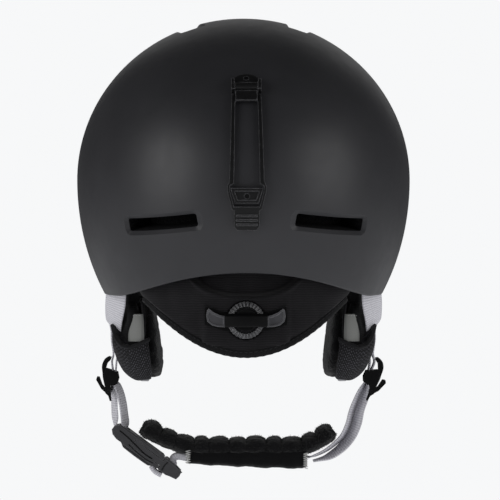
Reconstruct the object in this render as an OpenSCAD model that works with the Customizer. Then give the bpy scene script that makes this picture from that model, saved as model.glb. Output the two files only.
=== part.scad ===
// Hard-shell ski helmet with soft ear pads, a dial-adjusted nape band, a goggle strap retainer
// and a chin strap that closes with a side-sliding magnetic buckle.
// Millimetres. +Z is up, +Y is the way the wearer faces, +X is the wearer's right.
// The origin is the centre of the head opening, level with the shell's side edges.

/* [Shell] */
// Width of the shell across the temples
shell_w = 218; // [214:1:222]
// Reach of the shell behind the centre
shell_rear = 138; // [136:1:140]
// Reach of the shell ahead of the centre
shell_front = 134; // [130:1:138]
// Height of the widest level of the shell
belt_z = 73.5; // [72:0.5:75]
// Height of the dome above its widest level
dome_h = 105.8; // [103:0.2:108]
// Thickness of the moulded outer shell
shell_t = 2.4; // [2:0.1:2.6]
// Thickness of the foam liner
foam_t = 20; // [18:1:22]

/* [Vents] */
// Width of a rear vent slot
vent_w = 52; // [48:1:56]
// Height of a rear vent slot
vent_h = 8; // [6:0.5:9]

/* [Goggle retainer] */
// Height of the retainer's hinge bar
retainer_top = 131.4; // [130:0.2:132]
// Thickness of the retainer loop
retainer_t = 2.4; // [2:0.1:2.6]

/* [Fit system] */
// Height of the dial's axis
dial_z = -16; // [-17:0.5:-15]
// Radius of the dial
dial_r = 12; // [11:0.1:12]
// Teeth on the pinion
pinion_teeth = 10; // [10:1:10]

/* [Straps] */
// Width of the webbing
web_w = 15; // [13:0.5:15]
// Thickness of the webbing
web_t = 1.3; // [1.1:0.1:1.4]
// How far forward of the centre the chin strap hangs
strap_y = 4; // [3:0.5:5]

/* [Hidden] */
$fn = 48;

// Colours
black = [0.09, 0.09, 0.10];
charcoal = [0.17, 0.17, 0.18];
fleece_black = [0.05, 0.05, 0.055];
foam_black = [0.12, 0.12, 0.13];
grey = [0.34, 0.34, 0.35];
pale_grey = [0.74, 0.74, 0.79];
tab_grey = [0.58, 0.58, 0.57];
steel = [0.7, 0.7, 0.72];

// Shell form
side_r = shell_w / 2;
lower_h = 135;       // semi-axis of the form below its widest level
plan_power = 0.92;   // below 1 makes the plan fuller than an ellipse
nape_rim = 14;       // edge heights at the nape, the sides and the brow
side_rim = -1.5;
brow_rim = 56;
ring_n = 60;         // facets round the dome, and from crown to edge
rise_n = 14;
liner_gap = 0.5;
foam_out = shell_t + liner_gap;
foam_in = foam_out + foam_t;
pad_gap = 0.6;

function ease(a, b, v) = let (t = min(1, max(0, (v - a) / (b - a)))) t * t * (3 - 2 * t);
function spow(s, e) = sign(s) * pow(abs(s), e);
function unit(v) = v / norm(v);
function mirrored(p, side) = [side * p[0], p[1], p[2]];
// An angle round the head from the rear, folded to 0 at the nape and 180 at the brow
function from_rear(a) = abs(((a + 540) % 360) - 180);
function rim_z(a) = let (f = from_rear(a))
    nape_rim + (side_rim - nape_rim) * ease(0, 66, f) + (brow_rim - side_rim) * ease(95, 150, f);
// The foam stops short of the shell's edge, and further short above the ears
function foam_rim_z(a) = let (f = from_rear(a))
    rim_z(a) + 2 + 6 * ease(50, 75, f) * (1 - ease(105, 140, f));

// A point on the form, at angle a round from the rear and angle t down from the crown, sunk by off
function form_point(a, t, off) = [
    (side_r - off) * sin(t) * spow(sin(a), plan_power),
    -((cos(a) > 0 ? shell_rear : shell_front) - off) * sin(t) * spow(cos(a), plan_power),
    belt_z + ((t < 90 ? dome_h : lower_h) - off) * cos(t)];
function level_angle(z, off) = acos((z - belt_z) / (lower_h - off));

// Triangles for a grid of points, rows by columns, closed along the columns when wrap is true
function grid_faces(rows, cols, first, wrap, flip) = [
    for (r = [0:rows - 2]) for (c = [0:cols - (wrap ? 1 : 2)])
        let (a = first + r * cols + c, b = first + r * cols + (c + 1) % cols,
             d = a + cols, e = b + cols)
        each flip ? [[a, d, b], [b, d, e]] : [[a, b, d], [b, e, d]]];

// A dome between two depths, open at the bottom, whose edge is at rim_z or foam_rim_z
module dome(out, in, foam) {
    function edge(a) = foam ? foam_rim_z(a) : rim_z(a);
    function skin(off) = [for (r = [1:rise_n]) for (c = [0:ring_n - 1])
        let (a = 360 * c / ring_n) form_point(a, level_angle(edge(a), off) * r / rise_n, off)];
    n = rise_n * ring_n;
    points = concat(skin(out), skin(in), [form_point(0, 0, out), form_point(0, 0, in)]);
    caps = [for (c = [0:ring_n - 1]) let (d = (c + 1) % ring_n)
        each [[2 * n, d, c], [2 * n + 1, n + c, n + d]]];
    edge_faces = [for (c = [0:ring_n - 1])
        let (d = (c + 1) % ring_n, a = (rise_n - 1) * ring_n + c, b = (rise_n - 1) * ring_n + d)
        each [[a, b, a + n], [b, b + n, a + n]]];
    polyhedron(points, concat(grid_faces(rise_n, ring_n, 0, true, false),
                              grid_faces(rise_n, ring_n, n, true, true), caps, edge_faces));
}

// A closed slab from two grids of points, rows by columns: front is its outer face
module slab(front, back, rows, cols) {
    n = rows * cols;
    function at(r, c) = r * cols + c;
    rim = concat(
        [for (c = [0:cols - 2]) each [[at(0, c), at(0, c) + n, at(0, c + 1)],
                                      [at(0, c + 1), at(0, c) + n, at(0, c + 1) + n]]],
        [for (c = [0:cols - 2]) each [[at(rows - 1, c), at(rows - 1, c + 1), at(rows - 1, c) + n],
                                      [at(rows - 1, c + 1), at(rows - 1, c + 1) + n,
                                       at(rows - 1, c) + n]]],
        [for (r = [0:rows - 2]) each [[at(r, 0), at(r + 1, 0), at(r, 0) + n],
                                      [at(r + 1, 0), at(r + 1, 0) + n, at(r, 0) + n]]],
        [for (r = [0:rows - 2]) each [[at(r, cols - 1), at(r, cols - 1) + n, at(r + 1, cols - 1)],
                                      [at(r + 1, cols - 1), at(r, cols - 1) + n,
                                       at(r + 1, cols - 1) + n]]]);
    polyhedron(concat(front, back), concat(grid_faces(rows, cols, 0, false, false),
                                           grid_faces(rows, cols, n, false, true), rim));
}

// A tube or strap: each section is a ring of points, and the ends are flat
module skinned(sections, flip = false) {
    rows = len(sections);
    cols = len(sections[0]);
    start = flip ? [for (c = [0:cols - 1]) c] : [for (c = [cols - 1:-1:0]) c];
    end = [for (i = start) (rows - 1) * cols + i];
    finish = [for (i = [cols - 1:-1:0]) end[i]];
    polyhedron([for (s = sections) each s],
               concat(grid_faces(rows, cols, 0, true, flip), [start, finish]));
}

// Flat webbing through points, with across giving the direction of its width at each
module webbing(points, across, width, thick) {
    n = len(points);
    skinned([for (i = [0:n - 1])
        let (along = unit(points[min(i + 1, n - 1)] - points[max(i - 1, 0)]),
             w = unit(across[i] - along * (across[i] * along)), h = cross(along, w))
        [points[i] + w * width / 2 + h * thick / 2, points[i] - w * width / 2 + h * thick / 2,
         points[i] - w * width / 2 - h * thick / 2, points[i] + w * width / 2 - h * thick / 2]],
        true);
}

// A smooth line through points, each gap cut in steps
function spline(p, steps) = let (n = len(p)) [
    for (i = [0:n - 2]) for (s = [0:steps - 1])
        let (t = s / steps, a = p[max(i - 1, 0)], b = p[i], c = p[i + 1], d = p[min(i + 2, n - 1)])
        0.5 * ((2 * b) + (c - a) * t + (2 * a - 5 * b + 4 * c - d) * t * t
               + (3 * b - a - 3 * c + d) * t * t * t),
    p[n - 1]];

// ---------------------------------------------------------------- shell and liner

vent_corner = 1.5;
vent_flare = 2.2;    // how much the mouth of a vent opens out at the shell's surface
vent_depth = 40;

// A rounded bar along Y, from y1 to y2, as wide and high as given at each end
module vent_bar(y1, w1, h1, y2, w2, h2) {
    hull() for (end = [[y1, w1, h1], [y2, w2, h2]]) for (i = [-1, 1]) for (k = [-1, 1])
        translate([i * (end[1] / 2 - vent_corner), end[0], k * (end[2] / 2 - vent_corner)])
            rotate([90, 0, 0]) cylinder(r = vent_corner, h = 0.1, center = true, $fn = 16);
}

// A slot square to the shell at angle a round and t down, turned about its own axis, with a mouth
// that flares towards the outside
module vent(side, a, t, turn, w, h) {
    p = form_point(a, t, 0);
    n = unit([p[0] / pow(side_r, 2), p[1] / pow(cos(a) > 0 ? shell_rear : shell_front, 2),
              (p[2] - belt_z) / pow(t < 90 ? dome_h : lower_h, 2)]);
    mirror([side < 0 ? 1 : 0, 0, 0]) translate(p) rotate([0, 0, atan2(-n[0], n[1])])
        rotate([asin(n[2]), 0, 0]) rotate([0, turn, 0]) {
            vent_bar(-vent_depth, w, h, 12, w, h);
            vent_bar(-5, w - 1, h - 1, 5, w + 2 * vent_flare, h + 2 * vent_flare);
        }
}

module vents() {
    for (side = [-1, 1]) {
        vent(side, 29.8, 102.2, -3, vent_w, vent_h);
        vent(side, 84, 19.6, 0, vent_w * 0.9, vent_h * 1.5);
        vent(side, 154, 66, 4, vent_w * 0.8, vent_h);
    }
}

retainer_z0 = belt_z - 3.8;                   // centre of the arc that the retainer follows
retainer_y0 = -(shell_rear - 94.3);
retainer_r = 94.8;                            // radius of that arc, close to the shell's own
hinge_off = 3.1;                              // how far the retainer's hinge stands off the arc
anchor_rivet_z = 137.2;
hook_rivet_z = 62.5;
rivet_r = 1.6;

// Puts its children on the retainer's arc at height z, with +Z pointing outwards
module on_retainer_arc(z) {
    lift = asin((z - retainer_z0) / (retainer_r + hinge_off));
    translate([0, retainer_y0, retainer_z0]) rotate([90 - lift, 0, 0])
        translate([0, 0, retainer_r]) children();
}

module rivet_holes() {
    for (z = [anchor_rivet_z, hook_rivet_z]) on_retainer_arc(z) {
        translate([0, 0, -6]) cylinder(r = rivet_r + 0.1, h = 12);
        translate([0, 0, -6.5]) cylinder(r = 2 * rivet_r + 0.3, h = 6.5 - shell_t);
    }
}

module outer_shell() {
    color(charcoal) difference() {
        dome(0, shell_t, false);
        vents();
        rivet_holes();
    }
}

module foam_liner() {
    color(foam_black) difference() {
        dome(foam_out, foam_in, true);
        vents();
        rivet_holes();
    }
}

// A comfort pad on the inside of the foam, between two angles round and two shares of the way down
module liner_pad(a1, a2, s1, s2, thick, cols, rows) {
    function face(off) = [for (r = [0:rows - 1]) for (c = [0:cols - 1])
        let (a = a1 + (a2 - a1) * c / (cols - 1), s = s1 + (s2 - s1) * r / (rows - 1))
        form_point(a, level_angle(foam_rim_z(a), off) * s, off)];
    slab(face(foam_in + pad_gap), face(foam_in + pad_gap + thick), rows, cols);
}

module crown_pad() { color(fleece_black) liner_pad(-150, 150, 0.06, 0.36, 6, 19, 4); }
module brow_pad() { color(fleece_black) liner_pad(132, 228, 0.66, 0.99, 7, 13, 5); }
module rear_pad() { color(fleece_black) liner_pad(-66, 66, 0.62, 0.95, 6, 13, 5); }
module side_pad(side) { color(fleece_black) mirror([side < 0 ? 1 : 0, 0, 0])
    liner_pad(72, 122, 0.55, 0.92, 7, 9, 5); }

// ---------------------------------------------------------------- neck curtain and fit system

nape_y = -8;         // centre of the nape's curve
curtain_r = 98;      // outer radius of the curtain at its top, and how much it closes in below
curtain_taper = 4;
curtain_t = 3;
curtain_tuck = 17;   // how far its ends tuck in under the shell's edge
curtain_a = 47;      // half the angle that it covers
curtain_drop = 36;
binding_r = 1.8;
band_r = 85;         // radius of the fit bands' middle
band_t = 1.6;
function curtain_low(a) = -curtain_drop + 76 * pow(sin(a), 2) - 40 * pow(sin(a), 6);
function curtain_point(a, v, depth) = let (r = curtain_r - curtain_taper * v - curtain_tuck * pow(sin(a), 4) - depth)
    [r * sin(a), nape_y - r * cos(a), (rim_z(a) - 1) * (1 - v) + curtain_low(a) * v];

window_w = 50;
window_h = 28;
module neck_curtain() {
    rows = 8;
    cols = 25;
    function face(depth) = [for (r = [0:rows - 1]) for (c = [0:cols - 1])
        curtain_point(-curtain_a + 2 * curtain_a * c / (cols - 1), r / (rows - 1), depth)];
    color(fleece_black) difference() {
        slab(face(0), face(curtain_t), rows, cols);
        translate([-window_w / 2, -120, dial_z - window_h / 2]) cube([window_w, 40, window_h]);
    }
}

module curtain_binding() {
    steps = 32;
    color(black) skinned([for (i = [0:steps])
        let (a = -curtain_a + 2 * curtain_a * i / steps,
             p = curtain_point(a, 1, curtain_t / 2) - [0, 0, binding_r + 0.8],
             q = curtain_point(a + 1, 1, curtain_t / 2) - curtain_point(a - 1, 1, curtain_t / 2),
             along = unit(q), out = unit([sin(a), -cos(a), 0] - along * (along * [sin(a), -cos(a), 0])),
             up = cross(along, out))
        [for (k = [0:7]) p + binding_r * (out * cos(45 * k) + up * sin(45 * k))]], true);
}

nape_a = 30;         // half the angle that the nape's cushion covers, and its outer radius
nape_r = 77;
nape_t = 6;
nape_top = 4;
module nape_pad() {
    rows = 5;
    cols = 13;
    function face(r0) = [for (r = [0:rows - 1]) for (c = [0:cols - 1])
        let (a = -nape_a + 2 * nape_a * c / (cols - 1), share = r / (rows - 1),
             low = curtain_low(a) + 6, q = r0 - 4 * share)
        [q * sin(a), nape_y - q * cos(a), nape_top * (1 - share) + low * share]];
    color(fleece_black) slab(face(nape_r), face(nape_r - nape_t), rows, cols);
}

tooth_module = 0.8;
pitch_r = pinion_teeth * tooth_module / 2;
tooth_pitch = PI * tooth_module;
tooth_h = 0.55;      // height of a tooth above and below the pitch line
spindle_r = 2;
band_in = 9.6;       // reach of a band's plain edge above the dial's axis

// A gear's outline with plain tapered teeth, thinner than half a pitch so that it runs free
module pinion_outline() {
    step = 360 / pinion_teeth;
    polygon([for (i = [0:pinion_teeth - 1]) each [
        for (k = [[-0.34, -1], [-0.16, 1], [0.16, 1], [0.34, -1]])
            let (r = pitch_r + k[1] * (k[1] > 0 ? tooth_h : tooth_h + 0.25),
                 a = (i + 0.5) * step + 0.75 * k[0] * step)
            r * [cos(a), sin(a)]]]);
}

// A part that turns about the dial's axis: local +Z runs out of the back of the helmet
module on_dial_axis(y) {
    translate([0, y, dial_z]) rotate([90, 0, 0]) children();
}

front_y = -101;      // outer face of the curtain at the dial
plate_t = 2.2;
dial_t = 4.2;
dial_y = front_y - plate_t - 0.5;
housing_half = 22;   // half its width and height, and how far in the box behind the plate runs
housing_tall = 13.6;
housing_back = -86.5;
bridge_half = 14.2;  // half the bar's width and height, its thickness and how far out it stands
bridge_tall = 5.2;
bridge_t = 3.4;
bridge_out = 9.2;
bridge_post = 1.8;

module dial_housing() {
    color(black) difference() {
        union() {
            // The plate that shows, with ends that sweep up
            translate([0, front_y, 0]) rotate([90, 0, 0]) linear_extrude(plate_t)
                polygon([[-26, dial_z + 9], [-14, dial_z + 5.6], [14, dial_z + 5.6],
                         [26, dial_z + 9], [26.4, dial_z - 3], [14, dial_z - 7], [-14, dial_z - 7],
                         [-26.4, dial_z - 3]]);
            on_dial_axis(front_y) cylinder(r = 10, h = plate_t);
            // The box behind it, open at both ends for the bands
            for (k = [-1, 1])
                translate([-housing_half, front_y, dial_z + k * (housing_tall - 1) - 1])
                    cube([2 * housing_half, housing_back - front_y, 2]);
            translate([-housing_half, housing_back - 1.5, dial_z - housing_tall])
                cube([2 * housing_half, 1.5, 2 * housing_tall]);
            translate([-housing_half, front_y, dial_z - housing_tall])
                cube([2 * housing_half, 1.6, 2 * housing_tall]);
        }
        on_dial_axis(housing_back + 1) cylinder(r = spindle_r + 0.06, h = 30);
    }
}

module dial_bridge() {
    y = front_y - plate_t - bridge_out;
    color(black) union() {
        for (x = [-bridge_half, bridge_half - bridge_post]) translate([x, y, dial_z - bridge_tall])
            cube([bridge_post, bridge_out, 2 * bridge_tall]);
        translate([-bridge_half, y, dial_z - bridge_tall])
            cube([2 * bridge_half, bridge_t, 2 * bridge_tall]);
    }
}

module dial_wing(side) {
    color(grey) translate([0, front_y - plate_t, 0]) rotate([90, 0, 0]) linear_extrude(4.5)
        polygon([for (p = [[14.5, -4.8], [14.5, 4], [20, 5.2], [25.3, 8.2], [25.8, 2],
                           [24.2, -2.4], [20, -4.4]]) [side * p[0], dial_z + p[1]]]);
}

ridge_n = 36;
module fit_dial() {
    color(black) on_dial_axis(dial_y) difference() {
        union() {
            cylinder(r = dial_r - 0.6, h = dial_t);
            for (i = [0:ridge_n - 1]) rotate([0, 0, 360 * i / ridge_n])
                translate([dial_r - 1.2, -0.45, 0]) cube([1.2, 0.9, dial_t]);
        }
        translate([0, 0, -1]) cylinder(r = spindle_r + 0.02, h = dial_t + 2);
    }
}

module dial_pinion() {
    color(grey) difference() {
        union() {
            on_dial_axis(-91.2) linear_extrude(7) pinion_outline();
            on_dial_axis(-90) cylinder(r = spindle_r, h = -dial_y + dial_t - 90);
        }
        on_dial_axis(-98) cylinder(r = 1.02, h = 30);
    }
}

module dial_screw() {
    color(steel) {
        on_dial_axis(dial_y - dial_t) cylinder(r = 3.2, h = 1);
        on_dial_axis(-99) cylinder(r = 1, h = -dial_y + dial_t - 99);
    }
}

// A curved strip with rack teeth on one edge. The left band runs above the pinion, the right one
// below it
module fit_band(side) {
    end_a = 25;
    inner_a = 10.5;
    rack_n = 12;
    step_a = tooth_pitch / band_r * 180 / PI;
    root = pitch_r + tooth_h + 0.2;
    color(grey) translate([0, nape_y, dial_z]) mirror([side > 0 ? 1 : 0, 0, 0])
        mirror([0, 0, side > 0 ? 1 : 0]) union() {
            rotate([0, 0, -90 - end_a]) rotate_extrude(angle = inner_a + end_a, $fn = 96)
                translate([band_r - band_t / 2, root]) square([band_t, band_in - root]);
            for (i = [-rack_n / 2:rack_n / 2 - 1]) rotate([0, 0, -90 + (i + 0.5) * step_a])
                translate([band_r - band_t / 2, 0, 0]) rotate([90, 0, 90]) linear_extrude(band_t)
                    polygon([[-0.28, pitch_r - tooth_h], [0.28, pitch_r - tooth_h],
                             [0.62, root + 0.3], [-0.62, root + 0.3]]);
        }
}

// ---------------------------------------------------------------- ear pads

ear_x = 69.75;        // middle of a pad, and half its thickness, length and height
ear_y = 14;
ear_z = -28.7;
ear_t = 13.75;
ear_l = 44;
ear_h = 30;

// How full a pad is, and how far it leans in, at v from 0 at its top to 1 at its bottom
function ear_full(v) = 0.75 + 0.25 * ease(0.3, 0.52, v);
function ear_lean(v) = 5.5 * ease(0.48, 0.85, v);

// A point on the right pad: u goes round from the outside
function ear_point(u, v, off) =
    let (k = spow(sin(180 * v), 0.65), z = ear_z + (ear_h + off) * spow(cos(180 * v), 0.85),
         y = ear_y + (ear_l + off) * k * spow(sin(u), 0.8))
    [ear_x - ear_lean(v) - 0.0022 * pow(y - ear_y, 2)
     + (ear_t + off) * k * ear_full(v) * spow(cos(u), 0.8), y, z];

module ear_pad(side) {
    rows = 11;
    cols = 24;
    points = [for (r = [1:rows]) for (c = [0:cols - 1])
        mirrored(ear_point(360 * c / cols, r / (rows + 1), 0), side)];
    top = rows * cols;
    ends = [mirrored(ear_point(0, 0, 0), side), mirrored(ear_point(0, 1, 0), side)];
    fans = [for (c = [0:cols - 1]) let (d = (c + 1) % cols, low = (rows - 1) * cols)
        each side > 0 ? [[top, d, c], [top + 1, low + c, low + d]]
                      : [[top, c, d], [top + 1, low + d, low + c]]];
    color(fleece_black) polyhedron(concat(points, ends),
        concat(grid_faces(rows, cols, 0, true, side < 0), fans));
}

// A panel that follows the pad's skin between two depths, and stands off by gape towards its
// outer end
module ear_panel(side, u1, u2, cols, rows, v_top, low, off1, off2, gape = 0) {
    function face(off) = [for (r = [0:rows - 1]) for (c = [0:cols - 1])
        let (u = u1 + (u2 - u1) * (side > 0 ? c : cols - 1 - c) / (cols - 1))
        mirrored(ear_point(u, v_top + (low[0] + low[1] * ease(-15, -50, u) - v_top) * r / (rows - 1),
                           off + (off > off1 ? gape * ease(-90, -45, u) * (1 - 0.5 * r / (rows - 1))
                                             : 0)), side)];
    slab(face(off2), face(off1), rows, cols);
}

module ear_pocket(side) {
    color(black) ear_panel(side, -98, -32, 12, 5, 0.53, [0.69, 0.12], 0.4, 3, 4.2);
}

module ear_tab(side) {
    color(tab_grey) ear_panel(side, -92, -64, 6, 5, 0.36, [0.52, 0], 0.4, 1.6);
}

module ear_pull(side) {
    color(pale_grey) ear_panel(side, -100, -62, 5, 3, 0.85, [0.885, 0], 0.4, 1.6);
}

// ---------------------------------------------------------------- straps

// Each upper strap comes out from under the shell's edge, twists until it faces sideways and runs
// outside the ear pad to the divider: the points on its middle, and which way its width lies
rear_route = [[77.4, -27, 1.4], [79, -25.4, -7], [83.8, -17, -19], [84.2, -3, -30], [82.9, 3.4, -41]];
rear_width = [[0.85, 0.5, 0], [0.85, 0.5, 0], [0.6, 0.8, 0], [0, 1, 0], [0, 1, 0]];
front_route = [[81.6, 36, 1.6], [84.2, 28, -8], [86.2, 16, -20], [86.2, 7, -31], [85.3, 4.2, -40.6]];
front_width = [[0.15, 1, 0.3], [0.1, 1, 0.4], [0, 1, 0.4], [0, 1, 0.3], [0, 1, 0]];

module upper_strap(side, route, width) {
    color(pale_grey) webbing([for (p = spline(route, 4)) mirrored(p, side)],
                             [for (p = spline(width, 4)) mirrored(p, side)], web_w, web_t);
}

module rear_strap(side) { upper_strap(side, rear_route, rear_width); }
module front_strap(side) { upper_strap(side, front_route, front_width); }

// An anchor plate on the inside of the shell's edge, in the gap that the foam leaves above the ear
module strap_anchor(side, a) {
    near = shell_t + 0.5;
    far = near + 2.2;
    function face(off) = [for (r = [0:2]) for (c = [0:4])
        let (b = a - 5 + 2.5 * c, z = rim_z(b) + 4.8 - 2.2 * r)
        mirrored(form_point(b, level_angle(z, off), off), side)];
    slab(face(side > 0 ? near : far), face(side > 0 ? far : near), 3, 5);
}

module strap_anchors() {
    color(black) for (side = [-1, 1]) for (a = [72, 104]) strap_anchor(side, a);
}

bar_r = 1.1;
swing_z = -45.4;     // height at which the chin strap's webbing flexes, under the upper straps
upper_bar = -54;     // height of a divider's upper bar, and how far out it is
bar_x = 83.4;
cheek_y = 8.6;       // half the gap between a divider's cheeks, and each cheek's thickness
cheek_t = 1.4;
low_bar = [84.4, -59.2];
hang_at = [85, -46];  // the right divider hangs turned inwards about this point
hang_turn = 14;
cam_pivot = [88.6, -65];
cam_pin_r = 0.9;

// A point of a divider, given for the left, where the divider on that side has it
function hung(side, p) = side < 0 ? p : let (d = p - hang_at) hang_at
    + [d[0] * cos(hang_turn) + d[1] * sin(hang_turn), d[1] * cos(hang_turn) - d[0] * sin(hang_turn)];

// An outline drawn in X and Z, from one Y to another
module side_profile(side, y1, y2, points) {
    translate([0, y2, 0]) rotate([90, 0, 0]) linear_extrude(y2 - y1)
        polygon([for (p = points) let (q = hung(side, p)) [side * q[0], q[1]]]);
}

// A rod along Y
module cross_rod(side, at, r, y1, y2) {
    q = hung(side, at);
    translate([side * q[0], y2, q[1]]) rotate([90, 0, 0]) cylinder(r = r, h = y2 - y1);
}

module divider(side) {
    outer = [[86.4, -42.8], [88, -42.2], [91.2, -45.2], [92.6, -50], [92.2, -56], [91, -61.4],
             [88.7, -61.1], [89.9, -55.6], [90.2, -50.4], [89, -46.4], [87, -44.4]];
    cheek = [[82.2, -52.4], [90, -50], [91.4, -54], [90.8, -62], [90.6, -66], [88.6, -68],
             [87.6, -71.4], [86.4, -71.2], [87, -65], [87.2, -61.4], [84.8, -61.2], [82.4, -60],
             [81.4, -56.6]];
    color(black) difference() {
        union() {
            side_profile(side, strap_y - cheek_y, strap_y + cheek_y, outer);
            for (k = [[-cheek_y - cheek_t, -cheek_y], [cheek_y, cheek_y + cheek_t]])
                side_profile(side, strap_y + k[0], strap_y + k[1], cheek);
            for (bar = [[bar_x, upper_bar], low_bar])
                cross_rod(side, bar, bar_r, strap_y - cheek_y - 1, strap_y + cheek_y + 1);
        }
        cross_rod(side, cam_pivot, cam_pin_r + 0.04, strap_y - 20, strap_y + 20);
    }
}

module cam_pin(side) {
    color(steel) cross_rod(side, cam_pivot, cam_pin_r, strap_y - cheek_y - cheek_t,
                           strap_y + cheek_y + cheek_t);
}

module cam_lever(side) {
    half = cheek_y - 0.3;
    color(black) difference() {
        union() {
            cross_rod(side, cam_pivot, 1.9, strap_y - half, strap_y + half);
            side_profile(side, strap_y - half, strap_y + half,
                [[87.2, -66.3], [89.4, -66.8], [93.2, -63.4], [96.6, -57.4], [96, -55.6],
                 [94.4, -55.8], [92.6, -60.8], [90.2, -63.8]]);
        }
        cross_rod(side, cam_pivot, cam_pin_r + 0.05, strap_y - 20, strap_y + 20);
    }
}

// Webbing of the chin strap above a divider, which hangs outside the end of the upper straps
module divider_strap(side) {
    low = hung(side, [bar_x + 0.4, upper_bar + bar_r + 0.8]);
    color(pale_grey) webbing([[side * (bar_x + 3.5), strap_y, swing_z],
                              [side * low[0], strap_y, low[1]]],
                             [[0, 1, 0], [0, 1, 0]], web_w, web_t);
}

// A strap along points in X and Z. Its width lies along Y, turned by up to lean at mid length
module flat_strap(points, width, lean = 0) {
    last = 4 * (len(points) - 1);
    webbing([for (p = spline(points, 4)) [p[0], strap_y, p[1]]],
            [for (i = [0:last]) [lean * sin(180 * i / last), 1, 0]], width, web_t);
}

// ---------------------------------------------------------------- buckle

// The buckle's outline is drawn along its length (s) and across it (m, up towards the chin)
buckle_at = [-64, -104.7];
buckle_tilt = 36.5;
buckle_half = 12.5;
release_x = 79.5;    // the chin pad swings about an upright axis here when the buckle slides open
base_bar_s = -21.2;
ring_bar_s = 22.6;
slide_gap = 0.3;
neck_m = 1.9;        // half thickness of the slider's neck, and of its head
head_m = 3.3;
head_s = [-10.2, -5.2];
magnet = [2, 4.6, 14];
function buckle_xz(s, m) = buckle_at + s * [cos(buckle_tilt), -sin(buckle_tilt)]
                                     + m * [sin(buckle_tilt), cos(buckle_tilt)];

// Sweeps an outline round the release axis, so that the two halves slide past each other
module buckle_sweep(outline, half) {
    intersection() {
        translate([release_x, strap_y, 0]) rotate([0, 0, 172])
            rotate_extrude(angle = 16, $fn = 180)
                polygon([for (p = outline) let (q = buckle_xz(p[0], p[1])) [release_x - q[0], q[1]]]);
        translate([-110, strap_y - half, -140]) cube([100, 2 * half, 80]);
    }
}

// Puts its children on the buckle, with +X along it and +Z towards the chin
module on_buckle(s, m) {
    q = buckle_xz(s, m);
    translate([q[0], strap_y, q[1]]) rotate([0, buckle_tilt, 0]) children();
}

// A slot for webbing round a bar along Y
module bar_slot(s, before, after, bar) {
    on_buckle(s, 0) difference() {
        translate([-before, -web_w / 2 - 1, -20]) cube([before + after, web_w + 2, 40]);
        rotate([90, 0, 0]) cylinder(r = bar, h = web_w + 4, center = true);
    }
}

module magnet_block(s) {
    on_buckle(s, 0) cube([magnet[0], magnet[2], magnet[1]], center = true);
}

base_magnet_s = -13.2;
slider_magnet_s = -7.7;

module buckle_base() {
    neck = neck_m + slide_gap;
    head = head_m + slide_gap;
    body = [[-26.5, -1.8], [-24.5, -3.8], [-21, -4.8], [11.4, -4.8], [12, -4.2], [12, -neck],
            [head_s[1] + slide_gap, -neck], [head_s[1] + slide_gap, -head],
            [head_s[0] - slide_gap, -head], [head_s[0] - slide_gap, head],
            [head_s[1] + slide_gap, head], [head_s[1] + slide_gap, neck], [12, neck], [12, 4.2],
            [10, 5], [-21, 5], [-24.5, 4], [-26.5, 2]];
    lower_lip = [[-17, -4.8], [9, -4.8], [6, -6.6], [-14, -6.6]];
    color(charcoal) difference() {
        union() {
            buckle_sweep(body, buckle_half);
            buckle_sweep(lower_lip, buckle_half - 3);
        }
        bar_slot(base_bar_s, 2.8, 5, 1.5);
        magnet_block(base_magnet_s);
    }
}

module base_magnet() { color(steel) magnet_block(base_magnet_s); }

module buckle_slider() {
    tongue = [[head_s[0], -head_m], [head_s[1], -head_m], [head_s[1], -neck_m], [12.4, -neck_m],
              [12.4, -4.1], [13.4, -4.7], [19, -4.7], [21, -4], [26, -3], [26.6, 0], [26, 3],
              [21, 4], [19, 4.9], [13.4, 4.9], [12.4, 4.2], [12.4, neck_m],
              [head_s[1], neck_m], [head_s[1], head_m], [head_s[0], head_m]];
    color(charcoal) difference() {
        buckle_sweep(tongue, buckle_half);
        bar_slot(ring_bar_s, 4.4, 2.8, 1.3);
        magnet_block(slider_magnet_s);
    }
}

module slider_magnet() { color(steel) magnet_block(slider_magnet_s); }

// ---------------------------------------------------------------- lower straps and chin pad

module lower_strap_left() {
    color(pale_grey) {
        flat_strap([[-low_bar[0] + 1.2, low_bar[1] - 1.9], [-80.9, -66], [-79.2, -73], [-78.1, -81],
                    [-77.6, -87], buckle_xz(-18.4, 1.4)], web_w, 0.3);
        flat_strap([[-84.8, -68], [-84.6, -76], [-84.8, -82], buckle_xz(-27.8, 2.4)], web_w, -0.25);
    }
}

// The two layers of webbing from the right divider down to the chin pad
module lower_strap_right_inner() {
    color(pale_grey) flat_strap([[74.1, -72], [71.8, -77.7], [69.3, -86.9],
                                 [65, -95.2], [55.6, -103.4], [46, -108], [40, -108.8]], web_w);
}

module lower_strap_right_outer() {
    color(pale_grey) flat_strap([[78.8, -70.4], [76, -77.7], [74, -86.9], [70.2, -95.6],
                                 [64, -103], [55.6, -108.6], [46, -111.4]], web_w);
}

// Webbing from the buckle's ring bar through the sleeve
module pad_strap() {
    color(pale_grey) flat_strap([buckle_xz(21.4, 2.4), buckle_xz(24.4, 5), [-40.6, -110.6],
                                 [-37, -108.9], [-20, -108.9], [0, -108.9], [20, -108.9],
                                 [39.6, -108.9]], web_w);
}

fleece_line = [[-66.5, -88.4], [-60, -91.8], [-48.5, -97], [-36, -100.8], [-18, -101.8],
               [4, -101.6], [24, -101.8], [38, -101], [46, -98.6], [53.6, -94.4], [58.8, -90.2]];
fleece_bumps = 11;   // gathers along the fleece, and how deep they are
fleece_gather = 0.7;
fleece_half = [6, 14.5];

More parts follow.
